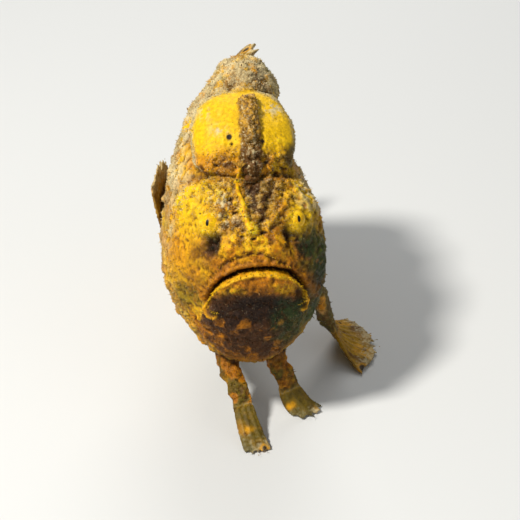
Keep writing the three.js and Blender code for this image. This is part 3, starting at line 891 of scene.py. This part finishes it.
YELLOW = colour(240, 192, 0)
GOLD = colour(212, 150, 0)
ORANGE = colour(202, 126, 3)
AMBER = colour(146, 90, 6)
BROWN = colour(88, 50, 10)
DARK = colour(38, 20, 7)
CREAM = colour(210, 194, 148)
TAN = colour(164, 130, 62)
OLIVE = colour(98, 88, 14)
# The next three colours are painted shade: the greenish and near black dark of yellow skin in shade
GREEN_SHADE = colour(50, 66, 18)
MOSS_SHADE = colour(62, 62, 18)
DEEP_SHADE = colour(22, 22, 8)
BLACK = colour(14, 7, 7)
LIP = colour(226, 168, 16)
COLUMN = colour(196, 148, 44)

paint = np.tile(GOLD, (len(verts), 1))
mottle = rough_noise(verts / 3.4, 3, 121)
small_mottle = rough_noise(verts / 1.5, 3, 127)


def lay(tint, share):
    paint[:] = mix(paint, tint, np.clip(share, 0, 1)[:, None])


def daub(tint, place, strength=1, raggedness=1.0, edge=0.5):
    """Lays a colour on a named place of the face."""
    lay(tint, face * patch(place, raggedness, edge) * strength)


def paint_body():
    valley = smooth_step(0.1, -0.6, folds + 0.3 * fine)
    behind = fleshy * smooth_step(24, 40, verts[:, 1])
    lay(YELLOW, smooth_step(-0.3, 0.6, blotchy) * 0.8)
    lay(ORANGE, smooth_step(0.25, 0.8, -blotchy) * 0.7)
    lay(AMBER, behind * smooth_step(-0.1, 0.5, rough_noise(verts / 8, 3, 101) + 0.3 * fine) * 0.7)
    lay(BROWN, behind * smooth_step(0.25, 0.6, rough_noise(verts / 5.5, 3, 111) + 0.2 * fine) * 0.7)
    lay(CREAM, crusty * (1 - 0.85 * valley) * smooth_step(-0.55, 0.2, fine + 0.4 * speckle + 0.2))
    lay(TAN, crusty * smooth_step(0.0, 0.8, wide_noise + 0.3 * fine) * 0.7)
    lay(BROWN, crusty * smooth_step(0.4, 0.9, -lumpy + 0.3 * speckle) * 0.65)
    lay(GOLD, behind * hill(wart_far, 0.22) * 0.6)
    for y, z, size in OCELLI:
        far = np.hypot(verts[:, 1] - y, verts[:, 2] - z) + 0.8 * ragged
        lay(GOLD, behind * hill(far - size * 1.35, 0.8) * 0.9)
        lay(DARK, behind * (1 - smooth_step(size * 0.85, size * 1.1, far)) * 0.95)
    # painted shade: the underside darkened to olive and brown where it faces down
    under = smooth_step(-0.2, -0.75, normals[:, 2]) * fleshy
    lay(OLIVE, under * 0.75)
    lay(BROWN, under * smooth_step(0.0, 0.6, blotchy + 0.3 * speckle) * 0.75)
    shade = smooth_step(6, 18, verts[:, 0]) * hill(verts[:, 1] - 20, 19) * hill(verts[:, 2] - 26, 21)
    lay(GREEN_SHADE, fleshy * smooth_step(0.2, 0.75, shade + 0.5 * blotchy + 0.3 * ragged) * 0.85)
    arms = kind == KINDS.index("arm")
    # painted shade: the arms darkened to moss green
    lay(MOSS_SHADE, arms * smooth_step(-0.8, 0.0, blotchy) * 0.85)
    lay(BROWN, arms * smooth_step(0.1, 0.6, ridged - 0.5 + 0.4 * speckle) * 0.6)


def paint_brows(rough):
    lay(ORANGE, face * smooth_step(0.0, 0.5, mottle) * 0.8)
    lay(AMBER, face * smooth_step(0.3, 0.7, mottle + 0.2 * speckle) * 0.8)
    daub(YELLOW, "yellow_eye_right", 1, 1.4)
    daub(GOLD, "gold_cheek_right", 0.7, edge=0.6)
    daub(YELLOW, "yellow_eye_left", smooth_step(-0.5, 0.0, small_mottle + 0.3), 1.5)
    daub(AMBER, "amber_eye_left", 0.7, 1.5, 0.6)
    daub(CREAM, "cream_side_right", rough)
    lay(AMBER, gravel * 0.9)
    lay(YELLOW, gravel * smooth_step(0.1, 0.35, mottle) * 0.8)
    lay(GOLD, gravel * smooth_step(0.0, 0.4, small_mottle) * 0.9)
    lay(DARK, gravel * smooth_step(0.0, 0.4, -small_mottle - 0.2 * mottle) * 0.85)
    daub(TAN, "tan_forehead", smooth_step(-0.2, 0.3, small_mottle) * 0.85)
    daub(YELLOW, "yellow_brow", 0.85, 1.5, 0.7)
    # painted shadow: an amber band on the face just below the dome's rim
    dome_shadow = hill(seen_y - NECK_LEVEL - 3 - 8 * ragged, 5) * blot("shadow_under_dome", 0, 0.3)
    lay(AMBER, face * dome_shadow * (0.5 + 0.4 * rough))
    lay(YELLOW, gravel * hill(small_wart_far, 0.2) * smooth_step(0.1, 0.3, mottle) * 0.8)
    daub(CREAM, "cream_brow", smooth_step(0.2, 0.5, fine + speckle) * 0.9, edge=0.8)


def paint_snout_and_cheeks(rough):
    daub(GOLD, "gold_snout", edge=0.4)
    daub(ORANGE, "orange_snout", smooth_step(-0.1, 0.3, mottle) * 0.9, edge=0.4)
    daub(YELLOW, "yellow_snout", smooth_step(0.0, 0.4, small_mottle) * 0.8)
    daub(BROWN, "brown_snout", smooth_step(0.25, 0.6, -small_mottle) * 0.7, edge=0.4)
    daub(BROWN, "brown_cheek_right", 0.4 + 0.5 * rough, edge=0.6)
    daub(BROWN, "brown_cheek_left", 0.85)
    # painted shade in the hollows beside the snout
    daub(BROWN, "brown_shade_hollow_right", 0.8, 1.5, 0.6)
    daub(DEEP_SHADE, "deep_shade_hollows", 0.95, 1.5)
    # painted shade on the fish's left cheek
    daub(DEEP_SHADE, "deep_shade_cheek_left", 0.8, 1.5)
    daub(OLIVE, "olive_jaw_right", 0.75, edge=0.7)
    daub(AMBER, "amber_corner_right", 0.6 * rough, edge=0.7)
    # painted shade down the fish's left side, greenish and near black
    daub(GREEN_SHADE, "green_shade_side_left", smooth_step(-0.5, 0.1, 0.2 - mottle) * 0.9, 1.5)
    daub(DEEP_SHADE, "deep_shade_side_left", 0.7, 1.5, 0.6)
    daub(CREAM, "cream_shoulder_left", rough * 0.9, edge=0.6)
    daub(TAN, "tan_side_left", 0.6 * rough, edge=0.6)


def paint_mouth_and_chin(rough):
    lay(ORANGE, face * hill(mouth - 6, 5) * mouth_ends * 0.7)
    lay(AMBER, face * hill(mouth - 5, 4) * mouth_ends * (0.55 + 0.35 * notches))
    lay(BROWN, face * hill(mouth - 4, 2.5) * mouth_ends * smooth_step(-0.3, 0.4, small_mottle) * 0.7)
    # painted shade in the crease above the upper lip
    lay(BROWN, face * hill(crease + 2 * ragged, 2) * 0.5)
    chin = face * (patch("chin", 0.5, 0.2) * smooth_step(-1, -4, lip))
    lay(ORANGE, chin)
    lay(AMBER, chin * rough * 0.6)
    lay(YELLOW, chin * mound("yellow_chin") * (1 - rough) * 0.9)
    # the chin darkens downwards: its own brown, deepened by painted shade, darkest at the fish's left
    lay(mix(BROWN, DARK, 0.45), chin * smooth_step(*CHIN_SHADE_DEEPENS, seen_y + 24 * ragged) * 0.97)
    lay(DARK, chin * patch("chin_shade") * 0.95)
    lay(DEEP_SHADE, chin * patch("deep_shade_chin_left", edge=0.4) * 0.95)
    patches = smooth_step(0.05, 0.55, rough_noise(verts / 3.2, 2, 71) + 0.2 * speckle)
    lay(ORANGE, chin * patches * smooth_step(*CHIN_PATCHES, seen_y) * 0.7)
    # painted shade on the fish's left jaw
    daub(GREEN_SHADE, "green_shade_jaw_left", 0.85, edge=0.6)
    lay(LIP, face * smooth_step(0.3, 0.7, hill(lip + 0.2, 1.5)))
    for x, y in CORNER_HOLLOWS:
        lay(DARK, face * spot(x, y, *CORNER_SHADE) * 0.8)
    lay(GOLD, face * hill(flap_far, 1.4))
    # the mouth's slit painted dark as shade
    lay(DARK, face * smooth_step(0.4, 0.8, hill(mouth - 0.8, 3.2) * mouth_ends))


def paint_lure_ridge():
    ridge = face * hill(lure_far + 4 * ragged, mix(6.5, 3.6, lure_share))
    ridge *= 1 - smooth_step(0.95, 1, lure_share)
    lay(GOLD, ridge)
    lay(YELLOW, ridge * smooth_step(-0.1, 0.3, small_mottle))
    lay(YELLOW, face * mound("yellow_nose"))
    # painted shadow in the crease under the dome's rim
    lay(DARK, face * hill(seen_y + 1 - NECK_LEVEL - 4 * ragged, 4) * blot("neck", 0, 0.3) * 0.8)


def paint_dome():
    rough = smooth_step(-0.4, 0.4, fine + 0.6 * speckle)
    lay(YELLOW, hood)
    lay(mix(GOLD, ORANGE, 0.5), dusk * 0.9)
    lay(BROWN, dusk * smooth_step(0.0, 0.5, rough_noise(verts / 2.2, 3, 137)) * 0.9)
    lay(YELLOW, dusk * smooth_step(0.1, 0.5, rough_noise(verts / 2.6, 3, 139)) * 0.8)
    lay(BROWN, hood * mound("brown_dome") * rough)
    lay(CREAM, hood * rim * smooth_step(-0.6, 0.2, fine + speckle))
    lay(TAN, hood * rim * smooth_step(0.2, 0.7, speckle) * 0.6)
    lay(CREAM, hood * mound("cream_dome_middle") * rough)
    lay(CREAM, hood * patch("cream_dome_right", 1.5, 0.6) * rough * 0.5)
    # painted shade at the lower sides of the dome
    lay(DEEP_SHADE, hood * patch("dome_side_shade", edge=0.6) * 0.8)
    lay(CREAM, hood * mound("cream_dome_left") * smooth_step(0, 0.6, fine + speckle) * 0.9)


def paint_column():
    lay(COLUMN, column)
    lay(BROWN, column * smooth_step(*COLUMN_DARKENS, seen_y + 20 * ragged) * 0.9)
    lay(BROWN, column * smooth_step(0.1, 0.6, grain + 0.3 * speckle) * 0.8)
    lay(CREAM, column * smooth_step(0.4, 0.8, speckle) * 0.8)


def paint_marks():
    for x, y, size in PITS:
        lay(DARK, mark * (1 - smooth_step(size * 0.6, size * 1.1, pit_far(x, y))) * 0.95)
    for x, y, size in DARK_SPOTS:
        far = np.hypot((seen_x - x) * 0.9, seen_y - y)
        lay(BLACK, mark * (1 - smooth_step(size * 0.75, size * 1.05, far)))
    for side in (-1, 1):
        right, up, out = around_eye(side, verts)
        far = np.hypot(right, up)
        near = (np.abs(out) < EYE_REACH) * fleshy
        petals = 0.5 + 0.5 * np.sin(9 * np.arctan2(up, right) + 1.5 * fine)
        lay(YELLOW, near * (1 - smooth_step(1.8, 4.6, far + 4 * ragged)) * 0.85)
        lay(AMBER, near * hill(far - 2.6, 0.8) * smooth_step(0.5, 1, petals + ragged) * 0.25)


def paint_fins():
    pelvic_fins = spread(kind == KINDS.index("pelvic"), 3)
    ringed = cells(verts / 7.5, 91)
    lay(OLIVE, finlike * 0.55)
    lay(GOLD, finlike * smooth_step(-0.2, 0.7, blotchy) * 0.7)
    lay(TAN, finlike * smooth_step(0.4, 0.95, np.cos(2 * np.pi * across)) * 0.7)
    lay(BROWN, finlike * smooth_step(0.15, 0.6, rough_noise(verts / 3, 2, 81)) * 0.75)
    lay(CREAM, finlike * smooth_step(0.8, 0.97, along + 0.2 * speckle) * 0.7)
    # painted shade: the pelvic fins darkened to moss green
    lay(MOSS_SHADE, pelvic_fins * smooth_step(-0.5, 0.3, blotchy + 0.3) * 0.75)
    lay(GOLD, finlike * hill(ringed - 0.24, 0.05) * 0.9)
    lay(DARK, finlike * (1 - smooth_step(0.16, 0.21, ringed)) * 0.9)


face_rough = smooth_step(-0.3, 0.5, fine + 0.6 * speckle)
paint_body()
paint_brows(face_rough)
paint_snout_and_cheeks(face_rough)
paint_mouth_and_chin(face_rough)
paint_lure_ridge()
paint_dome()
paint_column()
paint_marks()
paint_fins()
# painted shade darkens the hollows and ridges are painted paler, less so on the dome and round the eyes
eye_far = np.min([np.hypot(*around_eye(side, verts)[:2]) for side in (-1, 1)], axis=0)
hollow_shade = fleshy * (0.7 - 0.45 * hood) * (0.25 + 0.75 * smooth_step(1.6, 3.6, eye_far))
lay(BROWN * 0.7, smooth_step(-0.2, -1.6, bumps) * hollow_shade)
paint *= (1 + 0.2 * smooth_step(0.3, 1.6, bumps) * fleshy + 0.18 * speckle * face)[:, None]
paint = np.clip(paint, 0.002, 0.9)


# A map of the skin: each form seen along the axis it faces most, all at one scale
MAP_MARGIN = 0.8  # between the charts, in millimetres


def packed(widths, heights, margin):
    """Lower left corners of boxes set side by side on shelves in a square, and the square's side."""
    order = np.argsort(-heights)
    side = math.sqrt(((widths + margin) * (heights + margin)).sum())
    while True:
        corner = np.zeros((len(widths), 2))
        x, y, shelf = margin, margin, 0
        for k in order:
            if x + widths[k] + margin > side:
                x, y, shelf = margin, y + shelf + margin, 0
            corner[k] = x, y
            x += widths[k] + margin
            shelf = max(shelf, heights[k])
        if y + shelf + margin <= side:
            return corner, side
        side *= 1.02


def facing_axis(directions):
    """0 to 5 for a direction nearest to +X, -X, +Y, -Y, +Z or -Z."""
    axis = np.abs(directions).argmax(axis=1)
    return axis * 2 + (directions[np.arange(len(axis)), axis] < 0)


def skin_map(mesh):
    """Where each corner of the skin's faces falls on the map."""
    loops = read_all(mesh.loops, "vertex_index")
    first = loops[read_all(mesh.polygons, "loop_start")]
    chart_of_face = form_of[first] * 6 + facing_axis(smooth_normals[first])
    used, chart_of_face = np.unique(chart_of_face, return_inverse=True)
    chart = np.repeat(chart_of_face, read_all(mesh.polygons, "loop_total"))
    axis = used[chart] % 6 // 2
    at = verts[loops]
    flat = np.stack([np.where(axis == 0, at[:, 1], at[:, 0]), np.where(axis == 2, at[:, 1], at[:, 2])], -1)
    low = np.full((len(used), 2), 1e9)
    high = np.full((len(used), 2), -1e9)
    for k in range(2):
        np.minimum.at(low[:, k], chart, flat[:, k])
        np.maximum.at(high[:, k], chart, flat[:, k])
    corner, side = packed(high[:, 0] - low[:, 0], high[:, 1] - low[:, 1], MAP_MARGIN)
    return (flat - low[chart] + corner[chart]) / side


def set_map(mesh, places):
    layer = mesh.uv_layers.new(name="OFBake")
    layer.data.foreach_set("uv", places.astype(np.float32).ravel())


def set_paint(mesh, tints):
    layer = mesh.color_attributes.new("paint", "FLOAT_COLOR", "POINT")
    layer.data.foreach_set("color", np.hstack([tints, np.ones((len(tints), 1))]).astype(np.float32).ravel())


# Materials


def set_inputs(node, values):
    for socket, value in values.items():
        node.inputs[socket].default_value = value


def painted_material(name, roughness, grain_size, grain_share, bump_height=0.0, coat=0.0):
    """The painted colour, varied by a fine grain, with optional small bumps and gloss."""
    material = bpy.data.materials.new(name)
    material.use_nodes = True
    nodes, link = material.node_tree.nodes, material.node_tree.links.new
    shader = nodes["Principled BSDF"]
    painted = nodes.new("ShaderNodeAttribute")
    painted.attribute_name = "paint"
    place = nodes.new("ShaderNodeTexCoord")
    specks = nodes.new("ShaderNodeTexNoise")
    set_inputs(specks, {"Scale": 1 / grain_size, "Detail": 3})
    link(place.outputs["Object"], specks.inputs["Vector"])
    ramp = nodes.new("ShaderNodeValToRGB")
    dark, light = ramp.color_ramp.elements
    dark.position, dark.color = 0.32, (0.45, 0.4, 0.34, 1)
    light.position, light.color = 0.62, (1.1, 1.08, 1.04, 1)
    link(specks.outputs["Fac"], ramp.inputs["Fac"])
    tinted = nodes.new("ShaderNodeMix")
    tinted.data_type = "RGBA"
    tinted.blend_type = "MULTIPLY"
    set_inputs(tinted, {"Factor": grain_share})
    link(painted.outputs["Color"], tinted.inputs["A"])
    link(ramp.outputs["Color"], tinted.inputs["B"])
    link(tinted.outputs["Result"], shader.inputs["Base Color"])
    if bump_height:
        pores = nodes.new("ShaderNodeTexVoronoi")
        set_inputs(pores, {"Scale": 1600})
        link(place.outputs["Object"], pores.inputs["Vector"])
        bump = nodes.new("ShaderNodeBump")
        set_inputs(bump, {"Strength": 0.6, "Distance": bump_height})
        link(pores.outputs["Distance"], bump.inputs["Height"])
        link(bump.outputs["Normal"], shader.inputs["Normal"])
    gloss = {"Specular IOR Level": 0.25, "Coat Weight": coat, "Coat Roughness": 0.05}
    set_inputs(shader, {"Roughness": roughness, **gloss})
    return material


skin_mesh.vertices.foreach_set("co", to_world(verts).astype(np.float32).ravel())
skin_mesh.update()
skin_mesh.shade_smooth()
set_paint(skin_mesh, paint)
set_map(skin_mesh, skin_map(skin_mesh))
skin_mesh.materials.clear()
skin_material = painted_material(
    "skin", roughness=0.6, grain_size=0.0011, grain_share=0.5, bump_height=0.0002
)
skin_mesh.materials.append(skin_material)
skin = in_scene("skin", skin_mesh)

# The coat: grains and small flaps of skin, joined by the side they stand on

# Each side's grains, flaps and the axis along which it is mapped
COAT = {
    "left": (17000, 900, 0),
    "right": (17000, 900, 0),
    "back": (7000, 160, 1),
    "front": (23000, 500, 1),
    "top": (17000, 450, 2),
    "under": (8000, 90, 2),
    "fins": (12000, 60, 1),
}
SPIKE_SIDES = 5
# Heights and widths of a spike's rings, as shares of the whole
GRAIN_LEVELS = [(0, 1)]
FLAP_LEVELS = [(0, 1), (0.5, 0.75)]
# Sizes in millimetres
SUNK = 0.12
GRAIN_RADIUS = (0.14, 0.27)  # on plain and on crusted skin
FLAP_RADIUS = (0.1, 0.2)
FLAP_HEIGHT = (0.4, 1.1)
FRINGE_RADIUS = (0.13, 0.24)
FRINGE_HEIGHT = (0.35, 0.9)
# Lines of the face that carry a fringe of flaps, with their numbers
FRINGES = [(LOWER_LIP, 120), (UPPER_CREASE, 40), *[(flap, 12) for flap in CORNER_FLAPS], (MOUTH, 50)]
SEEN_WITHIN = 1.6  # pixels from a place on the picture


def joined_mesh(name, at, faces, tints, places, material):
    mesh = bpy.data.meshes.new(name)
    mesh.vertices.add(len(at))
    mesh.vertices.foreach_set("co", to_world(at).astype(np.float32).ravel())
    mesh.loops.add(faces.size)
    mesh.loops.foreach_set("vertex_index", faces.astype(np.int32).ravel())
    mesh.polygons.add(len(faces))
    mesh.polygons.foreach_set("loop_start", np.arange(0, faces.size, 3, dtype=np.int32))
    mesh.update(calc_edges=True)
    mesh.shade_smooth()
    set_paint(mesh, tints)
    set_map(mesh, places[faces.ravel()])
    mesh.materials.append(material)
    return in_scene(name, mesh)


def scatter(allowed, weight, count):
    """Random roots on the skin: triangles' vertex numbers and each root's shares of them."""
    a, b, c = (verts[triangles[:, k]] for k in range(3))
    area = np.linalg.norm(np.cross(b - a, c - a), axis=1) * allowed * weight[triangles].mean(axis=1)
    reach = np.cumsum(area)
    chosen = triangles[np.searchsorted(reach, rng.random(count) * reach[-1])]
    u, v = np.sqrt(rng.random(count)), rng.random(count)
    return chosen, np.stack([1 - u, u * (1 - v), u * v], -1)


def at_roots(values, chosen, shares):
    return np.einsum("ij,ij...->i...", shares, values[chosen])


def spikes(root, up, lean, radius, height, tint, place, levels):
    """Small spikes: rings that shrink towards a tip, leaning over sideways."""
    count = len(root)
    side = unit(np.cross(up, np.where(np.abs(up[:, :1]) < 0.8, point(1, 0, 0), point(0, 1, 0))))
    other = np.cross(up, side)
    turn = rng.random((count, 1)) * 2 * np.pi + 2 * np.pi * np.arange(SPIKE_SIDES) / SPIKE_SIDES
    wobble = rng.uniform(0.75, 1.25, (count, SPIKE_SIDES))
    circle = np.stack([np.cos(turn), np.sin(turn)], -1)
    around = side[:, None] * circle[..., :1] + other[:, None] * circle[..., 1:]
    rings, tints, places = [], [], []
    for share, width in levels:
        centre = root + up * (height * share)[:, None] + lean * share**1.5 - up * SUNK * (share == 0)
        rings.append(centre[:, None] + around * (radius[:, None] * width * wobble)[..., None])
        tints.append(np.repeat((tint * mix(0.72, 1.12, share))[:, None], SPIKE_SIDES, axis=1))
        places.append(place[:, None] + circle * 0.0015 * (1 - 0.6 * share))
    rings.append((root + up * height[:, None] + lean)[:, None])
    tints.append((tint * 1.12)[:, None])
    places.append(place[:, None])
    tip = SPIKE_SIDES * len(levels)
    faces = []
    for low in range(0, tip, SPIKE_SIDES):
        high = low + SPIKE_SIDES
        for j in range(SPIKE_SIDES):
            k = (j + 1) % SPIKE_SIDES
            if high == tip:
                faces.append((low + j, low + k, tip))
            else:
                faces += [(low + j, low + k, high + k), (low + j, high + k, high + j)]
    all_faces = (np.arange(count) * (tip + 1))[:, None, None] + np.array(faces)
    return (
        np.concatenate(rings, axis=1).reshape(-1, 3),
        all_faces.reshape(-1, 3),
        np.concatenate(tints, axis=1).reshape(-1, 3),
        np.concatenate(places, axis=1).reshape(-1, 2),
    )


def on_skin(x, y):
    """Number of the skin's vertex seen at a picture point."""
    near_enough = np.hypot(seen_now[:, 0] - x, seen_now[:, 1] - y) < SEEN_WITHIN
    near = np.flatnonzero(near_enough & (toward_view > 0.05))
    return near[np.argmax(verts[near] @ sight_level)]


def line_points(line, count):
    line = np.asarray(line, dtype=float)
    place = np.linspace(0, len(line) - 1, count)
    whole = np.arange(len(line))
    return np.stack([np.interp(place, whole, line[:, 0]), np.interp(place, whole, line[:, 1])], -1)


seen_now = on_picture(verts)
coat_material = painted_material("coat", roughness=0.55, grain_size=0.0016, grain_share=0.35)
crust = np.clip(crusty + hood * rim + column + 0.25 * face + gravel + dusk + face * hill(lure_far, 4), 0, 1)
pale = crusty + hood * rim + 0.35 * column + 0.3 * face * (seen_y < PALE_ABOVE) + 0.1 * gravel
pale = np.clip(pale, 0, 1)
pale *= 1 - 0.8 * column * smooth_step(*COLUMN_FOOT, seen_y)
# dark paint, painted shade among it, keeps dark grains
pale *= smooth_step(0.02, 0.09, paint.mean(axis=1))  # dark marks keep dark grains
grain_density = fleshy * (0.22 + 0.2 * face + 0.9 * crust) * (1 - 0.45 * hood * (1 - rim)) + finlike * 0.3
grain_density *= smooth_step(1.15, 1.5, eye_far)
grain_density *= 1 - 0.9 * face * hill(mouth, 3)
chin_flaps = face * smooth_step(*CHIN_FLAPS, seen_y)
flap_density = fleshy * (0.03 + crusty + 0.5 * chin_flaps + 0.25 * face) * (1 - hood)
flap_density *= smooth_step(2.5, 4, eye_far) * (1 - face * hill(mouth, 6))
first_vertex = triangles[:, 0]
side_of = np.where(finlike[first_vertex] > 0.5, 6, facing_axis(smooth_normals[first_vertex]))


def place_on_map(at, axis):
    """Where roots fall on the piece's own map: the skin laid out along the axis it faces."""
    flat = np.delete(at, axis, 1)
    low, high = flat.min(axis=0), flat.max(axis=0)
    return 0.01 + 0.98 * (flat - low) / (high - low)


def coat_piece(number, side):
    grain_count, flap_count, axis = COAT[side]
    grains, grain_shares = scatter(side_of == number, grain_density, grain_count)
    flaps, flap_shares = scatter(side_of == number, flap_density, flap_count)
    chosen, shares = np.vstack([grains, flaps]), np.vstack([grain_shares, flap_shares])
    roots, tints, paleness, crusted = (at_roots(v, chosen, shares) for v in (verts, paint, pale, crust))
    ups = np.vstack([at_roots(normals, grains, grain_shares), at_roots(smooth_normals, flaps, flap_shares)])
    if side != "fins":
        paleness[grain_count:] = 1 - at_roots(face, flaps, flap_shares)
    if side == "front":
        fringe = np.array([on_skin(x, y) for line, count in FRINGES for x, y in line_points(line, count)])
        roots = np.vstack([roots, verts[fringe]])
        ups = np.vstack([ups, smooth_normals[fringe]])
        tints = np.vstack([tints, mix(paint[fringe], YELLOW, 0.5)])
        paleness = np.append(paleness, np.zeros(len(fringe)))
        crusted = np.append(crusted, np.zeros(len(fringe)))
    ups = unit(ups)
    count = len(roots)
    bright = rng.uniform(0.8, 1.2, (count, 1))
    whitened = (rng.random(count) < 0.12 + 0.5 * paleness)[:, None] * rng.uniform(0.3, 0.9, (count, 1))
    browned = (rng.random(count) < 0.26)[:, None] * rng.uniform(0.2, 0.85, (count, 1))
    tints = mix(mix(tints, BROWN, browned), CREAM, whitened * (0.25 + 0.75 * paleness[:, None])) * bright
    places = place_on_map(roots, axis)
    radius = mix(*GRAIN_RADIUS, crusted) * rng.uniform(0.7, 1.3, count)
    height = radius * rng.uniform(0.9, 1.7, count)
    lean = rng.normal(0, 0.06, (count, 3))

    def grown(which, levels):
        return spikes(*(v[which] for v in (roots, ups, lean, radius, height, tints, places)), levels)

    short = grown(slice(0, grain_count), GRAIN_LEVELS)
    long_ones = slice(grain_count, count)
    radius[long_ones] = rng.uniform(*FLAP_RADIUS, count - grain_count)
    height[long_ones] = rng.uniform(*FLAP_HEIGHT, count - grain_count)
    lean[long_ones] = rng.normal(0, 0.3, (count - grain_count, 3)) - ups[long_ones] * 0.1
    if side == "front":
        fringed = slice(grain_count + flap_count, count)
        height[fringed] = rng.uniform(*FRINGE_HEIGHT, len(fringe))
        radius[fringed] = rng.uniform(*FRINGE_RADIUS, len(fringe))
    long = grown(long_ones, FLAP_LEVELS)
    at, faces, tint, place = (np.vstack(pair) for pair in zip(short, long))
    faces[len(short[1]):] += len(short[0])
    return joined_mesh("coat_" + side, at, faces, np.clip(tint, 0, 0.9), place, coat_material)


coats = [coat_piece(number, side) for number, side in enumerate(COAT)]

# The eyes, each turned to look forwards and up
PUPIL = (0.48, 0.95)  # half width and half height, in millimetres


def eye_piece(name, side):
    rows, columns = 72, 96
    polar = np.pi * (np.arange(rows) + 0.5) / rows
    turn = 2 * np.pi * np.arange(columns) / columns
    right, up, out = eye_axes(side)
    across_axis = np.cos(turn)[:, None] * right + np.sin(turn)[:, None] * up
    rings = EYE_AT * (side, 1, 1) + EYE_RADIUS * (
        np.cos(polar)[:, None, None] * out + np.sin(polar)[:, None, None] * across_axis
    )
    ball = closed_loft("eye", rings)
    dx, dy, _ = around_eye(side, ball.verts)
    angle, far = np.arctan2(dy, dx), np.hypot(dx, dy)
    rough = rough_noise(ball.verts / 0.5, 3, 7)
    petals = smooth_step(-0.2, 0.5, np.sin(10 * angle + rough))
    rays = (1 - petals) * smooth_step(0.6, 0.9, far) * (1 - smooth_step(1.3, 1.7, far))
    tints = mix(YELLOW, AMBER, rays[:, None] * 0.35)
    tints *= (1 + 0.2 * rough)[:, None]
    tints = mix(tints, GOLD, (0.6 * smooth_step(0.0, 0.5, noise(ball.verts / 0.7, 17)))[:, None])
    pupil = np.hypot(dx / PUPIL[0], dy / PUPIL[1])
    tints = mix(tints, BLACK * 0.4, (1 - smooth_step(0.92, 1.08, pupil))[:, None])
    piece = mesh_object(name, to_world(ball.verts), ball.faces)
    set_paint(piece.data, tints)
    flat = np.append(np.repeat(polar, columns), [0, np.pi])[:, None] / np.pi * 0.48
    turned = np.append(np.tile(turn, rows), [0, 0])
    on_map = 0.5 + flat * np.stack([np.cos(turned), np.sin(turned)], -1)
    set_map(piece.data, on_map[read_all(piece.data.loops, "vertex_index")])
    piece.data.materials.append(eye_material)
    return piece


eye_material = painted_material("eye", roughness=0.5, grain_size=0.0003, grain_share=0.25, coat=0.04)
eyes = [eye_piece("eye_ball_left", 1), eye_piece("eye_ball_right", -1)]

# The lure: a thin stalk that lies back along the face, with a tuft at its end
# Half width and half thickness of the stalk and of the tuft's hairs, from root to tip
STALK_SIZES = [(0.8, 0.5), (0.6, 0.42), (0.42, 0.36), (0.36, 0.34)]
HAIR_SIZES = [(0.26, 0.26), (0.2, 0.2), (0.08, 0.08)]
HAIRS = 26
HAIR_REACH = (0.9, 2.3)


def lure_piece():
    path = [verts[k] + smooth_normals[k] * 0.05 for k in (on_skin(x, y) for x, y in LURE_LINE)]
    stalk = limb("lure", path, STALK_SIZES, point(1, 0, 0), rows=60, columns=14)
    stalk.verts = stalk.verts + 0.16 * np.stack([noise(stalk.verts / 0.8, seed) for seed in (11, 12, 13)], -1)
    forms = [stalk]
    end = path[-1]
    for _ in range(HAIRS):
        reach = rng.uniform(*HAIR_REACH)
        aside = rng.normal(0, 0.75)
        bent = end + sight_level * rng.uniform(0.3, 0.9) + point(aside * 0.5, 0, reach * 0.5)
        tip = end + sight_level * rng.uniform(0.0, 1.0) + point(aside, 0, reach)
        forms.append(limb("lure", [end, bent, tip], HAIR_SIZES, point(1, 0, 0), rows=9, columns=6))
    at, faces, starts = joined_forms(forms)
    piece = mesh_object("lure_stalk", to_world(at), faces)
    tuft = (np.arange(len(at)) >= starts[1])[:, None]
    tints = mix(GOLD, YELLOW, smooth_step(-0.4, 0.4, noise(at / 0.8, 5))[:, None])
    tints = np.where(tuft, mix(GOLD, TAN, 0.6), tints) * (1 + 0.25 * noise(at / 0.5, 6)[:, None])
    set_paint(piece.data, np.clip(tints, 0, 0.9))
    piece.data.materials.append(coat_material)
    return piece


lure = lure_piece()

FLESH = [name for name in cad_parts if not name.startswith("eye") and name != "lure"]
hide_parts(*FLESH)
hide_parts("eye_left")
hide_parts("eye_right")
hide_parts("lure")
slots = [(skin, "skin"), (lure, "lure")] + [(eye, "eye") for eye in eyes] + [(coat, "skin") for coat in coats]
for piece, slot in slots:
    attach(piece, "root")

# Floor, lights and camera, in metres
FLOOR = 3
LIT_POINT = Vector((0, 0, 0.04))

floor = mesh_object(
    "floor", [(-FLOOR, -FLOOR, 0), (FLOOR, -FLOOR, 0), (FLOOR, FLOOR, 0), (-FLOOR, FLOOR, 0)], [(0, 1, 2, 3)]
)
floor_material = bpy.data.materials.new("floor")
floor_material.use_nodes = True
floor_shader = floor_material.node_tree.nodes["Principled BSDF"]
set_inputs(floor_shader, {"Base Color": (0.72, 0.72, 0.7, 1), "Roughness": 0.9})
floor.data.materials.append(floor_material)


def area_light(name, place, size, power, tint):
    data = bpy.data.lights.new(name, "AREA")
    data.shape = "DISK"
    data.size = size
    data.energy = power
    data.color = tint
    lamp = in_scene(name, data)
    lamp.location = place
    lamp.rotation_euler = (Vector(place) - LIT_POINT).to_track_quat("Z", "Y").to_euler()


area_light("key", (-0.5, -0.35, 0.8), size=0.14, power=10.5, tint=(1, 0.98, 0.94))
area_light("fill", (0.6, -0.5, 0.35), size=0.7, power=0.6, tint=(0.9, 0.95, 1))
area_light("back", (0.1, 0.7, 0.6), size=0.5, power=3, tint=(1, 1, 1))
world = bpy.data.worlds.new("world")
world.use_nodes = True
set_inputs(world.node_tree.nodes["Background"], {"Color": (0.9, 0.95, 1, 1), "Strength": 0.2})
bpy.context.scene.world = world
bpy.context.scene.view_settings.view_transform = "Standard"

camera_data = bpy.data.cameras.new("camera")
camera_data.lens = LENS
camera_data.sensor_width = SENSOR
camera_data.clip_start = 0.01
camera = in_scene("camera", camera_data)
camera.location = eye_point * MM
camera.rotation_euler = Vector(sight).to_track_quat("Z", "Y").to_euler()
bpy.context.scene.camera = camera
